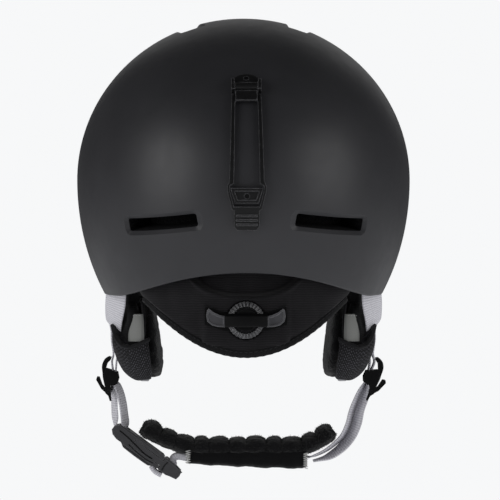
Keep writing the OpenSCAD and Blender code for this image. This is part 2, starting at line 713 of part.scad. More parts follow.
// A gathered tube: it swells between its gathers and closes at both ends
module chin_fleece() {
    line = spline(fleece_line, 7);
    n = len(line);
    color(fleece_black) skinned([for (i = [0:n - 1])
        let (p = line[i], q = line[min(i + 1, n - 1)] - line[max(i - 1, 0)],
             t = q / norm(q), up = [-t[1], t[0]], s = i / (n - 1),
             full = pow(min(1, sin(180 * (0.02 + 0.96 * s)) * 3), 0.5)
                    * (1 - 0.08 * fleece_gather * (1 - cos(360 * fleece_bumps * s))))
        [for (k = [0:15])
            let (m = fleece_half[0] * full * spow(cos(22.5 * k), 0.8),
                 y = fleece_half[1] * full * spow(sin(22.5 * k), 0.8))
            [p[0] + up[0] * m, strap_y + y, p[1] + up[1] * m]]]);
}

// The smooth outer half of the sleeve, under the chin
module chin_band() {
    steps = 16;
    color(black) skinned([for (i = [0:steps])
        let (x = -37 + 78.5 * i / steps, sag = 0.6 * (1 - pow(2 * i / steps - 1, 2)) + 0.038 * x)
        [for (p = [[-13.5, 0], [-13.8, -1.6], [-11.5, -3.1], [-7, -3.7], [7, -3.7],
                   [11.5, -3.1], [13.8, -1.6], [13.5, 0]])
            [x, strap_y + p[0], -109.9 + p[1] + (p[1] < 0 ? -sag : 0)]]], true);
}

// Bar tacks across the ends of the sleeve
module chin_stitching() {
    y = strap_y - 14.5;
    color(pale_grey) for (x = [-35, 39.5]) for (i = [0:1])
        translate([x - 1.2, y, -110.6 - 1.5 * i]) rotate([0, i % 2 == 0 ? 35 : -35, 0])
            cube([2.4, 0.6, 0.5]);
}

// ---------------------------------------------------------------- goggle retainer

loop_in = 0.6;       // gap between the loop and its arc
retainer_bar = 1.2;  // radius of the hinge bar, and of the barrel round it
barrel_r = 2.4;
barrel_half = 7.2;
cheek_w = 2;

// A plate that follows the retainer's arc, between two distances from it, in an outline drawn as
// seen from behind
module arc_plate(r1, r2, outline) {
    intersection() {
        translate([0, retainer_y0, retainer_z0]) rotate([0, 90, 0]) difference() {
            cylinder(r = retainer_r + r2, h = 60, center = true, $fn = 180);
            cylinder(r = retainer_r + r1, h = 61, center = true, $fn = 180);
        }
        translate([0, -60, 0]) rotate([90, 0, 0]) linear_extrude(120) polygon(outline);
    }
}

// Both sides of an outline given for the right, from the top down
function both_sides(half) = concat(half, [for (i = [len(half) - 1:-1:0]) [-half[i][0], half[i][1]]]);

module retainer_anchor() {
    color(black) union() {
        difference() {
            arc_plate(0.3, 2.9, both_sides([for (a = [10:16:90]) [9.6 * sin(a), 134.2 + 5.6 * cos(a)]]));
            on_retainer_arc(anchor_rivet_z) translate([0, 0, -1]) cylinder(r = rivet_r, h = 8);
        }
        on_retainer_arc(retainer_top) {
            for (side = [-1, 1]) translate([side * (barrel_half + cheek_w / 2 + 0.3) - cheek_w / 2, -3, 0.4])
                cube([cheek_w, 8.4, 5]);
            translate([0, 0, hinge_off]) rotate([0, 90, 0])
                cylinder(r = retainer_bar, h = 2 * barrel_half + 2.6, center = true);
        }
    }
}

hook_outline = [[10.3, 67.6], [7.4, 58]];
module retainer_hook() {
    color(black) difference() {
        arc_plate(0.3, 4, both_sides(hook_outline));
        on_retainer_arc(hook_rivet_z) translate([0, 0, -1]) cylinder(r = rivet_r, h = 8);
        arc_plate(3.2, 6, both_sides([[7.8, 65.6], [5.8, 60]]));
    }
}

module retainer_rivets() {
    color(steel) for (p = [[anchor_rivet_z, 2.8], [hook_rivet_z, 3.1]]) on_retainer_arc(p[0]) {
        translate([0, 0, -5]) cylinder(r = rivet_r, h = 5 + p[1]);
        translate([0, 0, -6.2]) cylinder(r = 2 * rivet_r, h = 1.2);
    }
}

module retainer_loop() {
    outside = [[7.2, 129.4], [7.2, 127], [9.2, 126.6], [9.5, 122], [11, 72], [12.4, 68.6], [12.3, 65.5],
               [9.4, 54], [8, 53.4], [8, 43.4], [6, 41]];
    inside = [[6.9, 122.4], [7.2, 121], [8.1, 70.4], [10.9, 69], [10.9, 66.6], [8.2, 55.9]];
    color(black) difference() {
        union() {
            difference() {
                arc_plate(loop_in, loop_in + retainer_t, both_sides(outside));
                arc_plate(-5, 20, both_sides(inside));
            }
            for (z = [44.6, 47.4, 50.2]) arc_plate(loop_in + retainer_t - 0.1,
                loop_in + retainer_t + 0.9, both_sides([[6.6, z + 0.6], [6.6, z - 0.6]]));
            arc_plate(loop_in, 4.6, both_sides([[6.8, 129], [6.8, 123]]));
            on_retainer_arc(retainer_top) translate([0, 0, hinge_off]) rotate([0, 90, 0])
                cylinder(r = barrel_r, h = 2 * barrel_half, center = true);
        }
        on_retainer_arc(retainer_top) translate([0, 0, hinge_off]) rotate([0, 90, 0])
            cylinder(r = retainer_bar + 0.06, h = 40, center = true);
    }
}

outer_shell();
foam_liner();
crown_pad();
brow_pad();
rear_pad();
side_pad(-1);  // side_pad_left
side_pad(1);  // side_pad_right
neck_curtain();
curtain_binding();
nape_pad();
dial_housing();
dial_bridge();
dial_wing(-1);  // dial_wing_left
dial_wing(1);  // dial_wing_right
fit_dial();
dial_pinion();
dial_screw();
fit_band(-1);  // fit_band_left
fit_band(1);  // fit_band_right
ear_pad(-1);  // ear_pad_left
ear_pad(1);  // ear_pad_right
ear_pocket(-1);  // ear_pocket_left
ear_pocket(1);  // ear_pocket_right
ear_tab(-1);  // ear_tab_left
ear_tab(1);  // ear_tab_right
ear_pull(-1);  // ear_pull_left
ear_pull(1);  // ear_pull_right
rear_strap(-1);  // rear_strap_left
rear_strap(1);  // rear_strap_right
front_strap(-1);  // front_strap_left
front_strap(1);  // front_strap_right
strap_anchors();
retainer_anchor();
retainer_hook();
retainer_rivets();
retainer_loop();
divider(-1);  // divider_left
divider(1);  // divider_right
divider_strap(-1);  // divider_strap_left
divider_strap(1);  // divider_strap_right
cam_lever(-1);  // cam_lever_left
cam_lever(1);  // cam_lever_right
cam_pin(-1);  // cam_pin_left
cam_pin(1);  // cam_pin_right
lower_strap_left();
lower_strap_right_inner();
lower_strap_right_outer();
buckle_base();
base_magnet();
buckle_slider();
slider_magnet();
pad_strap();
chin_fleece();
chin_band();
chin_stitching();
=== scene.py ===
"""The looks of a ski helmet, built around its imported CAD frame.

Lengths are in millimetres up to make_mesh(), which writes metres. +Y is the way the wearer faces.
"""

import math
from contextlib import contextmanager

import bmesh
import bpy
import numpy as np
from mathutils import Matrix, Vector


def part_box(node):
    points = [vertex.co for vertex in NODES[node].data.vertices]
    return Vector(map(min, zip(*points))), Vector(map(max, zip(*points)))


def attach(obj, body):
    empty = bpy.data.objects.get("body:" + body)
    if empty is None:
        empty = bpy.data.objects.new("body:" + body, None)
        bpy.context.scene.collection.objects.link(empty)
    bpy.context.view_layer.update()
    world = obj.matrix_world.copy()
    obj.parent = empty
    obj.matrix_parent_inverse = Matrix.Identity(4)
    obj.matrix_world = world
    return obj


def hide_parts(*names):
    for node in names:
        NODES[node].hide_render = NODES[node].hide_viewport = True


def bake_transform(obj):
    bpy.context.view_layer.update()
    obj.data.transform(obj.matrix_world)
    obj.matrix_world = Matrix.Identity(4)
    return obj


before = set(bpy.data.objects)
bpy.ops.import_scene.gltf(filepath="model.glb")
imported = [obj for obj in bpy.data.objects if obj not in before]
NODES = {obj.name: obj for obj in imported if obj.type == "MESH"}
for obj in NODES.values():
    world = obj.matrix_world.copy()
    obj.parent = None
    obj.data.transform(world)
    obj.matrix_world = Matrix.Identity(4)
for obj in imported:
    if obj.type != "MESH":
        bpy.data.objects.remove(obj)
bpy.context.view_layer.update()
MM = 0.001
SIDES = {"left": -1, "right": 1}

# ---- the shell's form, as in the CAD

shell_low, shell_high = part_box("outer_shell")
HALF_W = shell_high[0] / MM
REAR = -shell_low[1] / MM
FRONT = shell_high[1] / MM
BELT = 73.5
DOME = shell_high[2] / MM - BELT
LOWER = 135.0
PLAN_POWER = 0.92
SHELL_T = 2.4
FOAM_OUT = 2.9
FOAM_IN = 22.9
NAPE_RIM, SIDE_RIM, BROW_RIM = 14.0, -1.5, 56.0


def ease(a, b, v):
    t = np.clip((np.asarray(v, float) - a) / (b - a), 0, 1)
    return t * t * (3 - 2 * t)


def spow(s, e):
    s = np.asarray(s, float)
    return np.sign(s) * np.abs(s) ** e


def from_rear(a):
    return np.abs((np.asarray(a, float) + 540) % 360 - 180)


def rim_z(a):
    f = from_rear(a)
    return NAPE_RIM + (SIDE_RIM - NAPE_RIM) * ease(0, 66, f) + (BROW_RIM - SIDE_RIM) * ease(95, 150, f)


def foam_rim_z(a):
    f = from_rear(a)
    return rim_z(a) + 2 + 6 * ease(50, 75, f) * (1 - ease(105, 140, f))


def form_point(a, t, off):
    """A point on the form, a degrees round from the rear and t down from the crown, sunk by off."""
    a, t = np.radians(a), np.radians(t)
    reach = np.where(np.cos(a) > 0, REAR, FRONT) - off
    height = np.where(np.cos(t) > 0, DOME, LOWER) - off
    return np.stack(np.broadcast_arrays(
        (HALF_W - off) * np.sin(t) * spow(np.sin(a), PLAN_POWER),
        -reach * np.sin(t) * spow(np.cos(a), PLAN_POWER),
        BELT + height * np.cos(t)), axis=-1)


def level_angle(z, off):
    drop = np.asarray(z, float) - BELT
    semi = np.where(drop > 0, DOME, LOWER) - off
    return np.degrees(np.arccos(np.clip(drop / semi, -1, 1)))


def at_level(a, z, off):
    return form_point(a, level_angle(z, off), off)


# ---- mesh helpers

def make_mesh(name, points, faces, smooth=True):
    data = bpy.data.meshes.new(name)
    data.from_pydata([tuple(p) for p in np.asarray(points, float).reshape(-1, 3) * MM], [], faces)
    data.validate()
    data.update()
    obj = bpy.data.objects.new(name, data)
    bpy.context.scene.collection.objects.link(obj)
    if smooth:
        data.shade_smooth()
    return obj


@contextmanager
def editing(obj):
    """The object's mesh, open for edits and written back after them."""
    bm = bmesh.new()
    bm.from_mesh(obj.data)
    yield bm
    bm.to_mesh(obj.data)
    bm.free()
    obj.data.update()


def outward(obj, weld=True):
    """Turns every face to point out, once double points are welded."""
    with editing(obj) as bm:
        if weld:
            bmesh.ops.remove_doubles(bm, verts=bm.verts, dist=1e-7)
        bmesh.ops.recalc_face_normals(bm, faces=bm.faces)
    return obj


def grid(rows, cols, first=0, wrap=True):
    faces = []
    for r in range(rows - 1):
        for c in range(cols if wrap else cols - 1):
            a, b = first + r * cols + c, first + r * cols + (c + 1) % cols
            faces.append((a, b, b + cols, a + cols))
    return faces


def tube_faces(rows, cols, first=0, looped=False):
    """Faces over rings of points. The last ring is joined to the first, or both ends are closed."""
    last = first + (rows - 1) * cols
    if looped:
        ends = [(last + c, last + (c + 1) % cols, first + (c + 1) % cols, first + c) for c in range(cols)]
    else:
        ends = [tuple(range(first + cols - 1, first - 1, -1)), tuple(range(last, last + cols))]
    return grid(rows, cols, first) + ends


def slab_faces(rows, cols):
    """Faces of a closed slab, whose front points come first and its back points after them."""
    n = rows * cols
    faces = grid(rows, cols, wrap=False) + [f[::-1] for f in grid(rows, cols, first=n, wrap=False)]
    rim = ([c for c in range(cols)] + [(r + 1) * cols - 1 for r in range(1, rows)]
           + [(rows - 1) * cols + c for c in range(cols - 2, -1, -1)]
           + [r * cols for r in range(rows - 2, 0, -1)])
    return faces + [(i, i + n, j + n, j) for i, j in zip(rim, rim[1:] + rim[:1])]


def loft(name, rings, smooth=True):
    """A closed skin over rings of points, the same number in each."""
    rings = np.asarray(rings, float)
    return outward(make_mesh(name, rings, tube_faces(*rings.shape[:2]), smooth))


def modify(obj, kind, **settings):
    mod = obj.modifiers.new(kind.lower(), kind)
    for key, value in settings.items():
        setattr(mod, key, value)
    return mod


def round_edges(obj, width, degrees):
    """Rounds the edges that are sharper than this."""
    modify(obj, "BEVEL", width=width * MM, segments=3, limit_method="ANGLE",
           angle_limit=math.radians(degrees))


def apply_modifiers(obj):
    """Bakes the object's modifiers into its mesh."""
    bpy.context.view_layer.update()
    graph = bpy.context.evaluated_depsgraph_get()
    made = bpy.data.meshes.new_from_object(obj.evaluated_get(graph))
    obj.modifiers.clear()
    old = obj.data
    obj.data = made
    if old.users == 0:
        bpy.data.meshes.remove(old)
    return obj


def smooth_by_angle(obj, degrees):
    """Smooth shading, with edges sharper than this left crisp."""
    limit = math.radians(degrees)
    with editing(obj) as bm:
        for f in bm.faces:
            f.smooth = True
        for e in bm.edges:
            e.smooth = len(e.link_faces) != 2 or e.calc_face_angle(0) < limit
    return obj


def join(name, objects):
    """One object from several, which keep their own materials."""
    bpy.ops.object.select_all(action="DESELECT")
    for o in objects:
        o.select_set(True)
    bpy.context.view_layer.objects.active = objects[0]
    bpy.ops.object.join()
    objects[0].name = name
    return objects[0]


def finish_piece(obj, body, mat, nodes=()):
    if mat is not None:
        obj.data.materials.clear()
        obj.data.materials.append(mat)
    if body:
        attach(obj, body)
    if nodes:
        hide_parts(*nodes)
    return obj


def read(items, key, width=3):
    """One row of width numbers for each of Blender's items."""
    values = np.empty(len(items) * width, int if width == 1 else float)
    items.foreach_get(key, values)
    return values.reshape(-1, width)


def vertex_array(obj):
    return read(obj.data.vertices, "co") / MM


def normal_array(obj):
    return read(obj.data.vertices, "normal")


def write_vertices(obj, co):
    obj.data.vertices.foreach_set("co", (np.asarray(co) * MM).ravel())
    obj.data.update()


def wave_noise(co, size, seed, octaves=3):
    """Smooth noise from -1 to 1 at points in mm, from sums of sines with fixed random directions."""
    rng = np.random.default_rng(seed)
    out = np.zeros(len(co))
    total = 0
    for k in range(octaves):
        part = np.zeros(len(co))
        for _ in range(6):
            d = rng.normal(size=3)
            d *= 2 * math.pi / (size / 2 ** k) / np.linalg.norm(d) * rng.uniform(0.7, 1.4)
            part += np.sin(co @ d + rng.uniform(0, 2 * math.pi))
        out += part / 3 / 2 ** k
        total += 1 / 2 ** k
    return out / total


def spline(points, count):
    """count points, evenly spaced in parameter, on a smooth line through points."""
    p = np.asarray(points, float)
    t = np.linspace(0, len(p) - 1, count)
    i = np.minimum(t.astype(int), len(p) - 2)
    f = (t - i)[:, None]
    a, b = p[np.maximum(i - 1, 0)], p[i]
    c, d = p[i + 1], p[np.minimum(i + 2, len(p) - 1)]
    return 0.5 * (2 * b + (c - a) * f + (2 * a - 5 * b + 4 * c - d) * f ** 2
                  + (3 * b - a - 3 * c + d) * f ** 3)


def mirrored(points, side):
    """The points as they are for side 1, and on the other side of the helmet for -1."""
    return np.asarray(points, float) * (side, 1, 1)


def unit(v):
    v = np.asarray(v, float)
    return v / np.maximum(np.linalg.norm(v, axis=-1, keepdims=True), 1e-12)


def run_length(path):
    """How far along a path each of its points lies."""
    return np.concatenate([[0], np.cumsum(np.linalg.norm(np.diff(path, axis=0), axis=1))])


def level_out(a):
    """The level direction away from the middle, a degrees round from the rear."""
    return np.stack([np.sin(np.radians(a)), -np.cos(np.radians(a)), 0 * a], axis=-1)


def turns(n):
    return 2 * np.pi * np.arange(n) / n


# ---- materials

def srgb(*rgb):
    """Linear colour from 0-255 display values."""
    c = np.array(rgb, float) / 255
    return tuple(np.where(c < 0.04045, c / 12.92, ((c + 0.055) / 1.055) ** 2.4)) + (1.0,)


class Material:
    """A procedural material whose textures are laid out in millimetres on the piece itself."""

    def __init__(self, name, rough=0.5, metal=0.0, spec=0.5, sheen=0.0, sheen_rough=0.5,
                 sheen_tint=(1, 1, 1, 1), coat=0.0, coat_rough=0.2):
        self.mat = bpy.data.materials.new(name)
        self.mat.use_nodes = True
        self.tree = self.mat.node_tree
        self.bsdf = self.tree.nodes["Principled BSDF"]
        for socket, value in (("Roughness", rough), ("Metallic", metal), ("Specular IOR Level", spec),
                              ("Sheen Weight", sheen), ("Sheen Roughness", sheen_rough),
                              ("Sheen Tint", sheen_tint), ("Coat Weight", coat),
                              ("Coat Roughness", coat_rough)):
            self.bsdf.inputs[socket].default_value = value
        self.relief = None

    def link(self, value, socket):
        if isinstance(value, bpy.types.NodeSocket):
            self.tree.links.new(value, socket)
        else:
            socket.default_value = value

    def node(self, kind, inputs, **settings):
        n = self.tree.nodes.new("ShaderNode" + kind)
        for key, value in settings.items():
            setattr(n, key, value)
        for key, value in inputs.items():
            self.link(value, n.inputs[key])
        return n.outputs

    def mm(self, stretch=(1, 1, 1)):
        """The piece's own coordinates in millimetres, each axis stretched."""
        inputs = {0: self.node("TexCoord", {})["Object"], 1: [s / MM for s in stretch]}
        return self.node("VectorMath", inputs, operation="MULTIPLY")[0]

    def xyz(self):
        return self.node("SeparateXYZ", {0: self.mm()})

    def uv(self):
        """The two UVs, which the pieces hold in millimetres."""
        return self.node("SeparateXYZ", {0: self.node("UVMap", {}, uv_map="UVMap")[0]})[:2]

    def noise(self, size, detail=3.0, vector=None, rough=0.55):
        return self.node("TexNoise", {"Vector": vector or self.mm(), "Scale": 1 / size,
                                      "Detail": detail, "Roughness": rough})["Fac"]

    def cell_edges(self, size):
        """The distance to the nearest edge between cells of this size."""
        return self.node("TexVoronoi", {"Vector": self.mm(), "Scale": 1 / size},
                         feature="DISTANCE_TO_EDGE")["Distance"]

    def math(self, op, a, b=0.5, c=0.5):
        return self.node("Math", {0: a, 1: b, 2: c}, operation=op)[0]

    def times(self, a, b):
        return self.math("MULTIPLY", a, b)

    def wave(self, coordinate, pitch, phase=0.0):
        """A sine from 0 to 1, once every pitch of the coordinate."""
        angle = self.math("MULTIPLY_ADD", coordinate, 2 * math.pi / pitch, phase)
        return self.math("MULTIPLY_ADD", self.math("SINE", angle), 0.5, 0.5)

    def span(self, value, low, high, to_low=0.0, to_high=1.0):
        return self.node("MapRange", {"Value": value, "From Min": low, "From Max": high,
                                      "To Min": to_low, "To Max": to_high})[0]

    def mix(self, factor, a, b):
        """A blend of two colours, each a socket or a display colour from 0 to 255."""
        a, b = (c if isinstance(c, bpy.types.NodeSocket) else srgb(*c) for c in (a, b))
        return self.node("Mix", {0: factor, 6: a, 7: b}, data_type="RGBA")[2]

    def color(self, value):
        self.link(value, self.bsdf.inputs["Base Color"])

    def rough(self, value, low, high):
        self.link(self.span(value, 0.3, 0.7, low, high), self.bsdf.inputs["Roughness"])

    def bump(self, height, depth, strength=1.0):
        """Adds relief, depth millimetres from height 0 to 1."""
        inputs = {"Strength": strength, "Distance": depth * MM, "Height": height}
        if self.relief:
            inputs["Normal"] = self.relief
        self.relief = self.node("Bump", inputs)[0]
        self.link(self.relief, self.bsdf.inputs["Normal"])

    def painted_edge_highlight(self, base, highlight_tone, radius=0.6):
        """The base colour with a painted highlight: paler along convex edges, where light catches them."""
        rounded = self.node("Bevel", {"Radius": radius * MM}, samples=4)[0]
        normal = self.node("NewGeometry", {})["Normal"]
        dot = self.node("VectorMath", {0: rounded, 1: normal}, operation="DOT_PRODUCT")["Value"]
        return self.mix(self.times(self.span(dot, 0.98, 0.8), self.noise(3.0)), base, highlight_tone)


def shell_paint():
    m = Material("shell_paint", spec=0.38, coat=0.06, coat_rough=0.3)
    drift = m.noise(46.0, 2.0)
    m.color(m.mix(m.span(drift, 0.3, 0.7), (41, 41, 44), (46, 46, 49)))
    m.rough(m.noise(9.0, 4.0), 0.45, 0.51)
    m.bump(m.noise(0.42, 2.0), 0.018, 0.5)
    m.bump(m.noise(14.0, 1.0), 0.05, 0.25)
    return m.mat


def foam_beads():
    m = Material("foam_beads", rough=0.86, spec=0.16)
    edges = m.cell_edges(3.4)
    bead = m.span(edges, 0.0, 0.16)
    m.color(m.mix(bead, (13, 13, 14), m.mix(m.noise(7.0), (25, 25, 27), (33, 33, 35))))
    m.bump(bead, 0.35, 0.8)
    m.bump(m.noise(0.6, 3.0), 0.08, 0.6)
    return m.mat


def fleece(name, dark, light, clump=2.4):
    m = Material(name, rough=0.95, spec=0.06, sheen=0.22, sheen_rough=0.5)
    tufts = m.noise(clump, 4.0, rough=0.68)
    fibres = m.noise(0.34, 2.0, m.mm((1, 0.45, 1)))
    shade = m.times(m.span(tufts, 0.34, 0.66), m.span(fibres, 0.25, 0.75, 0.55, 1.0))
    m.color(m.mix(shade, dark, light))
    m.bump(tufts, 1.1, 0.85)
    m.bump(fibres, 0.22, 0.9)
    return m.mat


def knit(name, dark, light, pitch=0.9, depth=0.16):
    """A close textile whose yarns show from any side as faint level lines."""
    m = Material(name, rough=0.88, spec=0.12, sheen=0.14, sheen_rough=0.4)
    z = m.xyz()[2]
    wander = m.times(m.noise(7.0, 2.0), 1.6)
    weft = m.wave(m.math("ADD", z, wander), pitch)
    fuzz = m.noise(0.7, 3.0)
    tone = m.times(weft, m.span(fuzz, 0.3, 0.7, 0.4, 1.0))
    drift = m.noise(14.0, 3.0)
    bright = m.mix(drift, light, [0.7 * c for c in light])
    m.color(m.mix(m.span(tone, 0, 1, 0.15, 0.9), dark, bright))
    m.bump(weft, depth, 0.6)
    m.bump(fuzz, 0.1, 0.7)
    m.bump(drift, 0.5, 0.3)
    return m.mat


def woven_tape(name, dark, light, pitch=1.0):
    """Grosgrain on pieces with UVs: u across the tape and v along it, in millimetres."""
    m = Material(name, rough=0.8, spec=0.2, sheen=0.1, sheen_rough=0.4)
    u, v = m.uv()
    cross = m.wave(v, pitch)
    along = m.wave(u, 0.8)
    yarns = m.times(m.math("POWER", cross, 0.6), m.span(along, 0, 1, 0.6, 1.0))
    fuzz = m.noise(0.4, 3.0)
    m.color(m.mix(m.times(yarns, m.span(fuzz, 0.25, 0.75, 0.6, 1.0)), dark, light))
    m.bump(yarns, 0.22, 0.9)
    m.bump(fuzz, 0.07, 0.6)
    return m.mat


def webbing_weave(name, dark, light):
    """Flat harness webbing: cross ribs, over a fine twill of yarns."""
    m = Material(name, rough=0.72, spec=0.28, sheen=0.1, sheen_rough=0.4)
    u, v = m.uv()
    rib = m.math("POWER", m.wave(v, 1.57), 0.5)
    twill = m.wave(m.math("ADD", v, m.times(u, 0.7)), 1.1)
    selvedge = m.span(m.math("ABSOLUTE", u, 0.0), 6.2, 6.9)
    weave = m.times(m.span(rib, 0, 1, 0.45, 1.0), m.span(twill, 0, 1, 0.6, 1.0))
    tone = m.times(weave, m.span(selvedge, 0, 1, 1.0, 0.8))
    fuzz = m.noise(0.5, 3.0)
    m.color(m.mix(m.times(tone, m.span(fuzz, 0.3, 0.7, 0.85, 1.0)), dark, light))
    m.bump(tone, 0.3, 0.9)
    m.bump(fuzz, 0.06, 0.6)
    return m.mat


def grained_plastic(name, base, highlight_tone, rough=(0.42, 0.52), grain=0.5, depth=0.03, spec=0.32):
    m = Material(name, spec=spec)
    # Convex edges are painted with a highlight, the second colour.
    m.color(m.painted_edge_highlight(m.mix(m.noise(5.0, 3.0), base, [1.12 * c for c in base]), highlight_tone))
    m.rough(m.noise(4.0, 4.0), *rough)
    m.bump(m.noise(grain, 2.0), depth, 0.6)
    return m.mat


def rubber():
    m = Material("retainer_rubber", spec=0.22)
    # The rubber's convex edges get a painted highlight, (125, 125, 128).
    m.color(m.painted_edge_highlight(m.mix(m.noise(6.0, 3.0), (15, 15, 16), (20, 20, 21)), (125, 125, 128), 0.9))
    m.rough(m.noise(3.0, 4.0), 0.4, 0.5)
    m.bump(m.noise(0.3, 3.0), 0.03, 0.7)
    return m.mat


def brushed_steel():
    m = Material("brushed_steel", metal=1.0, spec=0.5)
    lines = m.noise(0.5, 3.0, m.mm((1, 0.06, 1)))
    m.color(m.mix(lines, (118, 118, 120), (168, 168, 170)))
    m.rough(lines, 0.26, 0.42)
    m.bump(lines, 0.02, 0.4)
    return m.mat


def spacer_mesh():
    """Black mesh: short bright dashes, painted highlights on its yarns, stand in staggered columns between
    dark cells.
    """
    m = Material("spacer_mesh", rough=0.7, spec=0.2, sheen=0.05)
    u, v = m.uv()
    column = m.wave(u, 1.25)
    row = m.math("ADD", v, m.times(m.wave(u, 2.5), 1.1))
    dash = m.times(m.span(column, 0.45, 0.8), m.span(m.wave(row, 2.2), 0.35, 0.7))
    patchy = m.span(m.noise(2.2, 2.0), 0.35, 0.65, 0.25, 1.0)
    # The bright colour is a painted highlight on the yarns.
    m.color(m.mix(m.times(dash, patchy), (17, 17, 19), (88, 87, 94)))
    m.bump(dash, 0.25, 0.9)
    m.bump(m.noise(0.3, 2.0), 0.05, 0.6)
    return m.mat


def woven_label():
    m = Material("woven_label", rough=0.62, spec=0.3, sheen=0.1)
    u, v = m.uv()
    satin = m.wave(m.math("ADD", v, m.times(u, 0.35)), 0.5)
    border = m.span(m.math("ABSOLUTE", u, 0.0), 4.3, 4.7)
    cloth = m.mix(satin, (116, 117, 115), (140, 141, 138))
    m.color(m.mix(m.times(border, 0.5), cloth, (104, 105, 104)))
    m.bump(satin, 0.06, 0.7)
    m.bump(m.noise(4.0, 2.0), 0.2, 0.3)
    return m.mat


PAINT = shell_paint()
BEADS = foam_beads()
FLEECE = fleece("lining_fleece", (3, 3, 4), (15, 15, 17))
CHIN_FLEECE = fleece("chin_fleece", (3, 3, 4), (17, 17, 19), 2.0)
COVER = knit("cover_cloth", (6, 6, 7), (24, 24, 26), 1.1)
CURTAIN = knit("curtain_cloth", (20, 20, 21), (46, 44, 47), 1.5, 0.06)
BAND_CLOTH = knit("band_cloth", (5, 5, 6), (20, 20, 22), 0.8)
BINDING = woven_tape("binding_tape", (6, 6, 7), (22, 22, 24))
PIPING = woven_tape("piping_tape", (9, 9, 10), (38, 38, 41), 0.7)
WEBBING = webbing_weave("strap_webbing", (150, 149, 158), (242, 241, 246))
TAB_CLOTH = woven_tape("tab_tape", (150, 150, 154), (222, 222, 226), 0.8)
LABEL = woven_label()
MESH_CLOTH = spacer_mesh()
# For each plastic the second colour is a painted highlight along its convex edges; the dial's pale ridge
# tips are such highlights.
BLACK = grained_plastic("black_plastic", (5, 5, 6), (58, 58, 60), (0.5, 0.6), spec=0.14)
BUCKLE = grained_plastic("buckle_plastic", (56, 56, 58), (135, 135, 137), (0.36, 0.48), 0.4, 0.02)
SATIN = grained_plastic("satin_plastic", (70, 70, 73), (165, 165, 168), (0.34, 0.44), 0.3, 0.012)
TEETH = grained_plastic("dial_plastic", (74, 74, 76), (246, 246, 248), (0.3, 0.4))
NYLON = grained_plastic("nylon", (28, 28, 30), (60, 60, 62), (0.5, 0.6))
RUBBER = rubber()
STEEL = brushed_steel()
THREAD = woven_tape("white_thread", (150, 150, 150), (225, 225, 222), 0.5)
DARK_THREAD = woven_tape("dark_thread", (16, 16, 17), (62, 62, 65), 0.5)


# ---- camera, light and floor

# From here to the shell, lengths are in metres
AIM = Vector((0.0044, 0.0, 0.0276))
CAMERA_DISTANCE = 3.0
CAMERA_TURN = math.radians(1.0)
CAMERA_RISE = math.radians(0.5)
FRAME_WIDTH = 0.3283      # how much of the scene's width the view takes in
SENSOR = 36.0             # the camera's own width, in millimetres
WORLD_FILL = 0.06         # how bright the world lights the helmet, and how bright it is seen
WORLD_SEEN = 0.945
FLOOR_RADIUS, FLOOR_Z, FLOOR_GLOW = 8.0, -1.0, 0.55
# name, place, what it points at, width and height, watts
LIGHTS = [("left_box", (-1.4, -0.95, 0.42), (0, -0.05, 0.06), (1.2, 1.2), 13.5),
          ("right_box", (1.45, -0.85, 0.4), (0, -0.05, 0.06), (1.2, 1.2), 10.5),
          ("front_fill", (0.2, 1.9, 0.9), (0, 0, 0.06), (1.6, 1.2), 3.0),
          ("low_fill", (0.0, -1.6, -0.7), (0, 0, -0.02), (1.2, 0.5), 0.7)]


def link_object(name, data, place, towards):
    """Adds an object at a place, turned so that its -Z axis points along towards."""
    obj = bpy.data.objects.new(name, data)
    obj.location = place
    obj.rotation_euler = towards.to_track_quat("-Z", "Y").to_euler()
    bpy.context.scene.collection.objects.link(obj)
    return obj


def add_camera():
    data = bpy.data.cameras.new("camera")
    data.sensor_width = SENSOR
    data.lens = SENSOR * CAMERA_DISTANCE / FRAME_WIDTH
    data.clip_start = 0.05
    level = math.cos(CAMERA_RISE)
    away = Vector((-math.sin(CAMERA_TURN) * level, -math.cos(CAMERA_TURN) * level, math.sin(CAMERA_RISE)))
    bpy.context.scene.camera = link_object("camera", data, AIM + away * CAMERA_DISTANCE, -away)


def add_light(name, place, target, size, watts):
    data = bpy.data.lights.new(name, "AREA")
    data.shape = "RECTANGLE"
    data.size, data.size_y = size
    data.energy = watts
    link_object(name, data, place, Vector(target) - Vector(place))


def add_world():
    world = bpy.data.worlds.new("studio")
    bpy.context.scene.world = world
    world.use_nodes = True
    tree = world.node_tree
    back = tree.nodes["Background"]
    back.inputs["Color"].default_value = (0.985, 0.992, 1.0, 1.0)
    ray = tree.nodes.new("ShaderNodeLightPath")
    strength = tree.nodes.new("ShaderNodeMapRange")
    strength.inputs["To Min"].default_value = WORLD_FILL
    strength.inputs["To Max"].default_value = WORLD_SEEN
    tree.links.new(ray.outputs["Is Camera Ray"], strength.inputs["Value"])
    tree.links.new(strength.outputs[0], back.inputs["Strength"])


def add_floor():
    k = turns(96)
    ring = np.stack([FLOOR_RADIUS * np.cos(k), FLOOR_RADIUS * np.sin(k), 0 * k + FLOOR_Z], axis=1)
    floor = make_mesh("floor", ring / MM, [tuple(range(len(k)))], smooth=False)
    m = Material("floor_paper", rough=0.9, spec=0.05)
    m.color(m.mix(m.noise(400.0), (226, 227, 229), (232, 233, 235)))
    m.bsdf.inputs["Emission Color"].default_value = (0.93, 0.94, 0.96, 1)
    m.bsdf.inputs["Emission Strength"].default_value = FLOOR_GLOW
    floor.data.materials.append(m.mat)


add_camera()
add_world()
add_floor()
bpy.context.scene.view_settings.view_transform = "Standard"
for light in LIGHTS:
    add_light(*light)


# ---- shell and liner

# Angles round and down to a vent's centre, lean, width and height
VENTS = [(29.8, 102.2, -3, 52.0, 8.0), (84, 19.6, 0, 48.6, 12.0), (154, 66, 4, 43.2, 8.0)]
LIP_DEPTH = 2.0      # depth and width of the chamfer round a vent's mouth
LIP_WIDTH = 2.4
LONG_END = 0.9       # how much wider the chamfer is at a vent's inner end
SLOT_CORNER = 1.3
OUTLINE_POINTS = 128


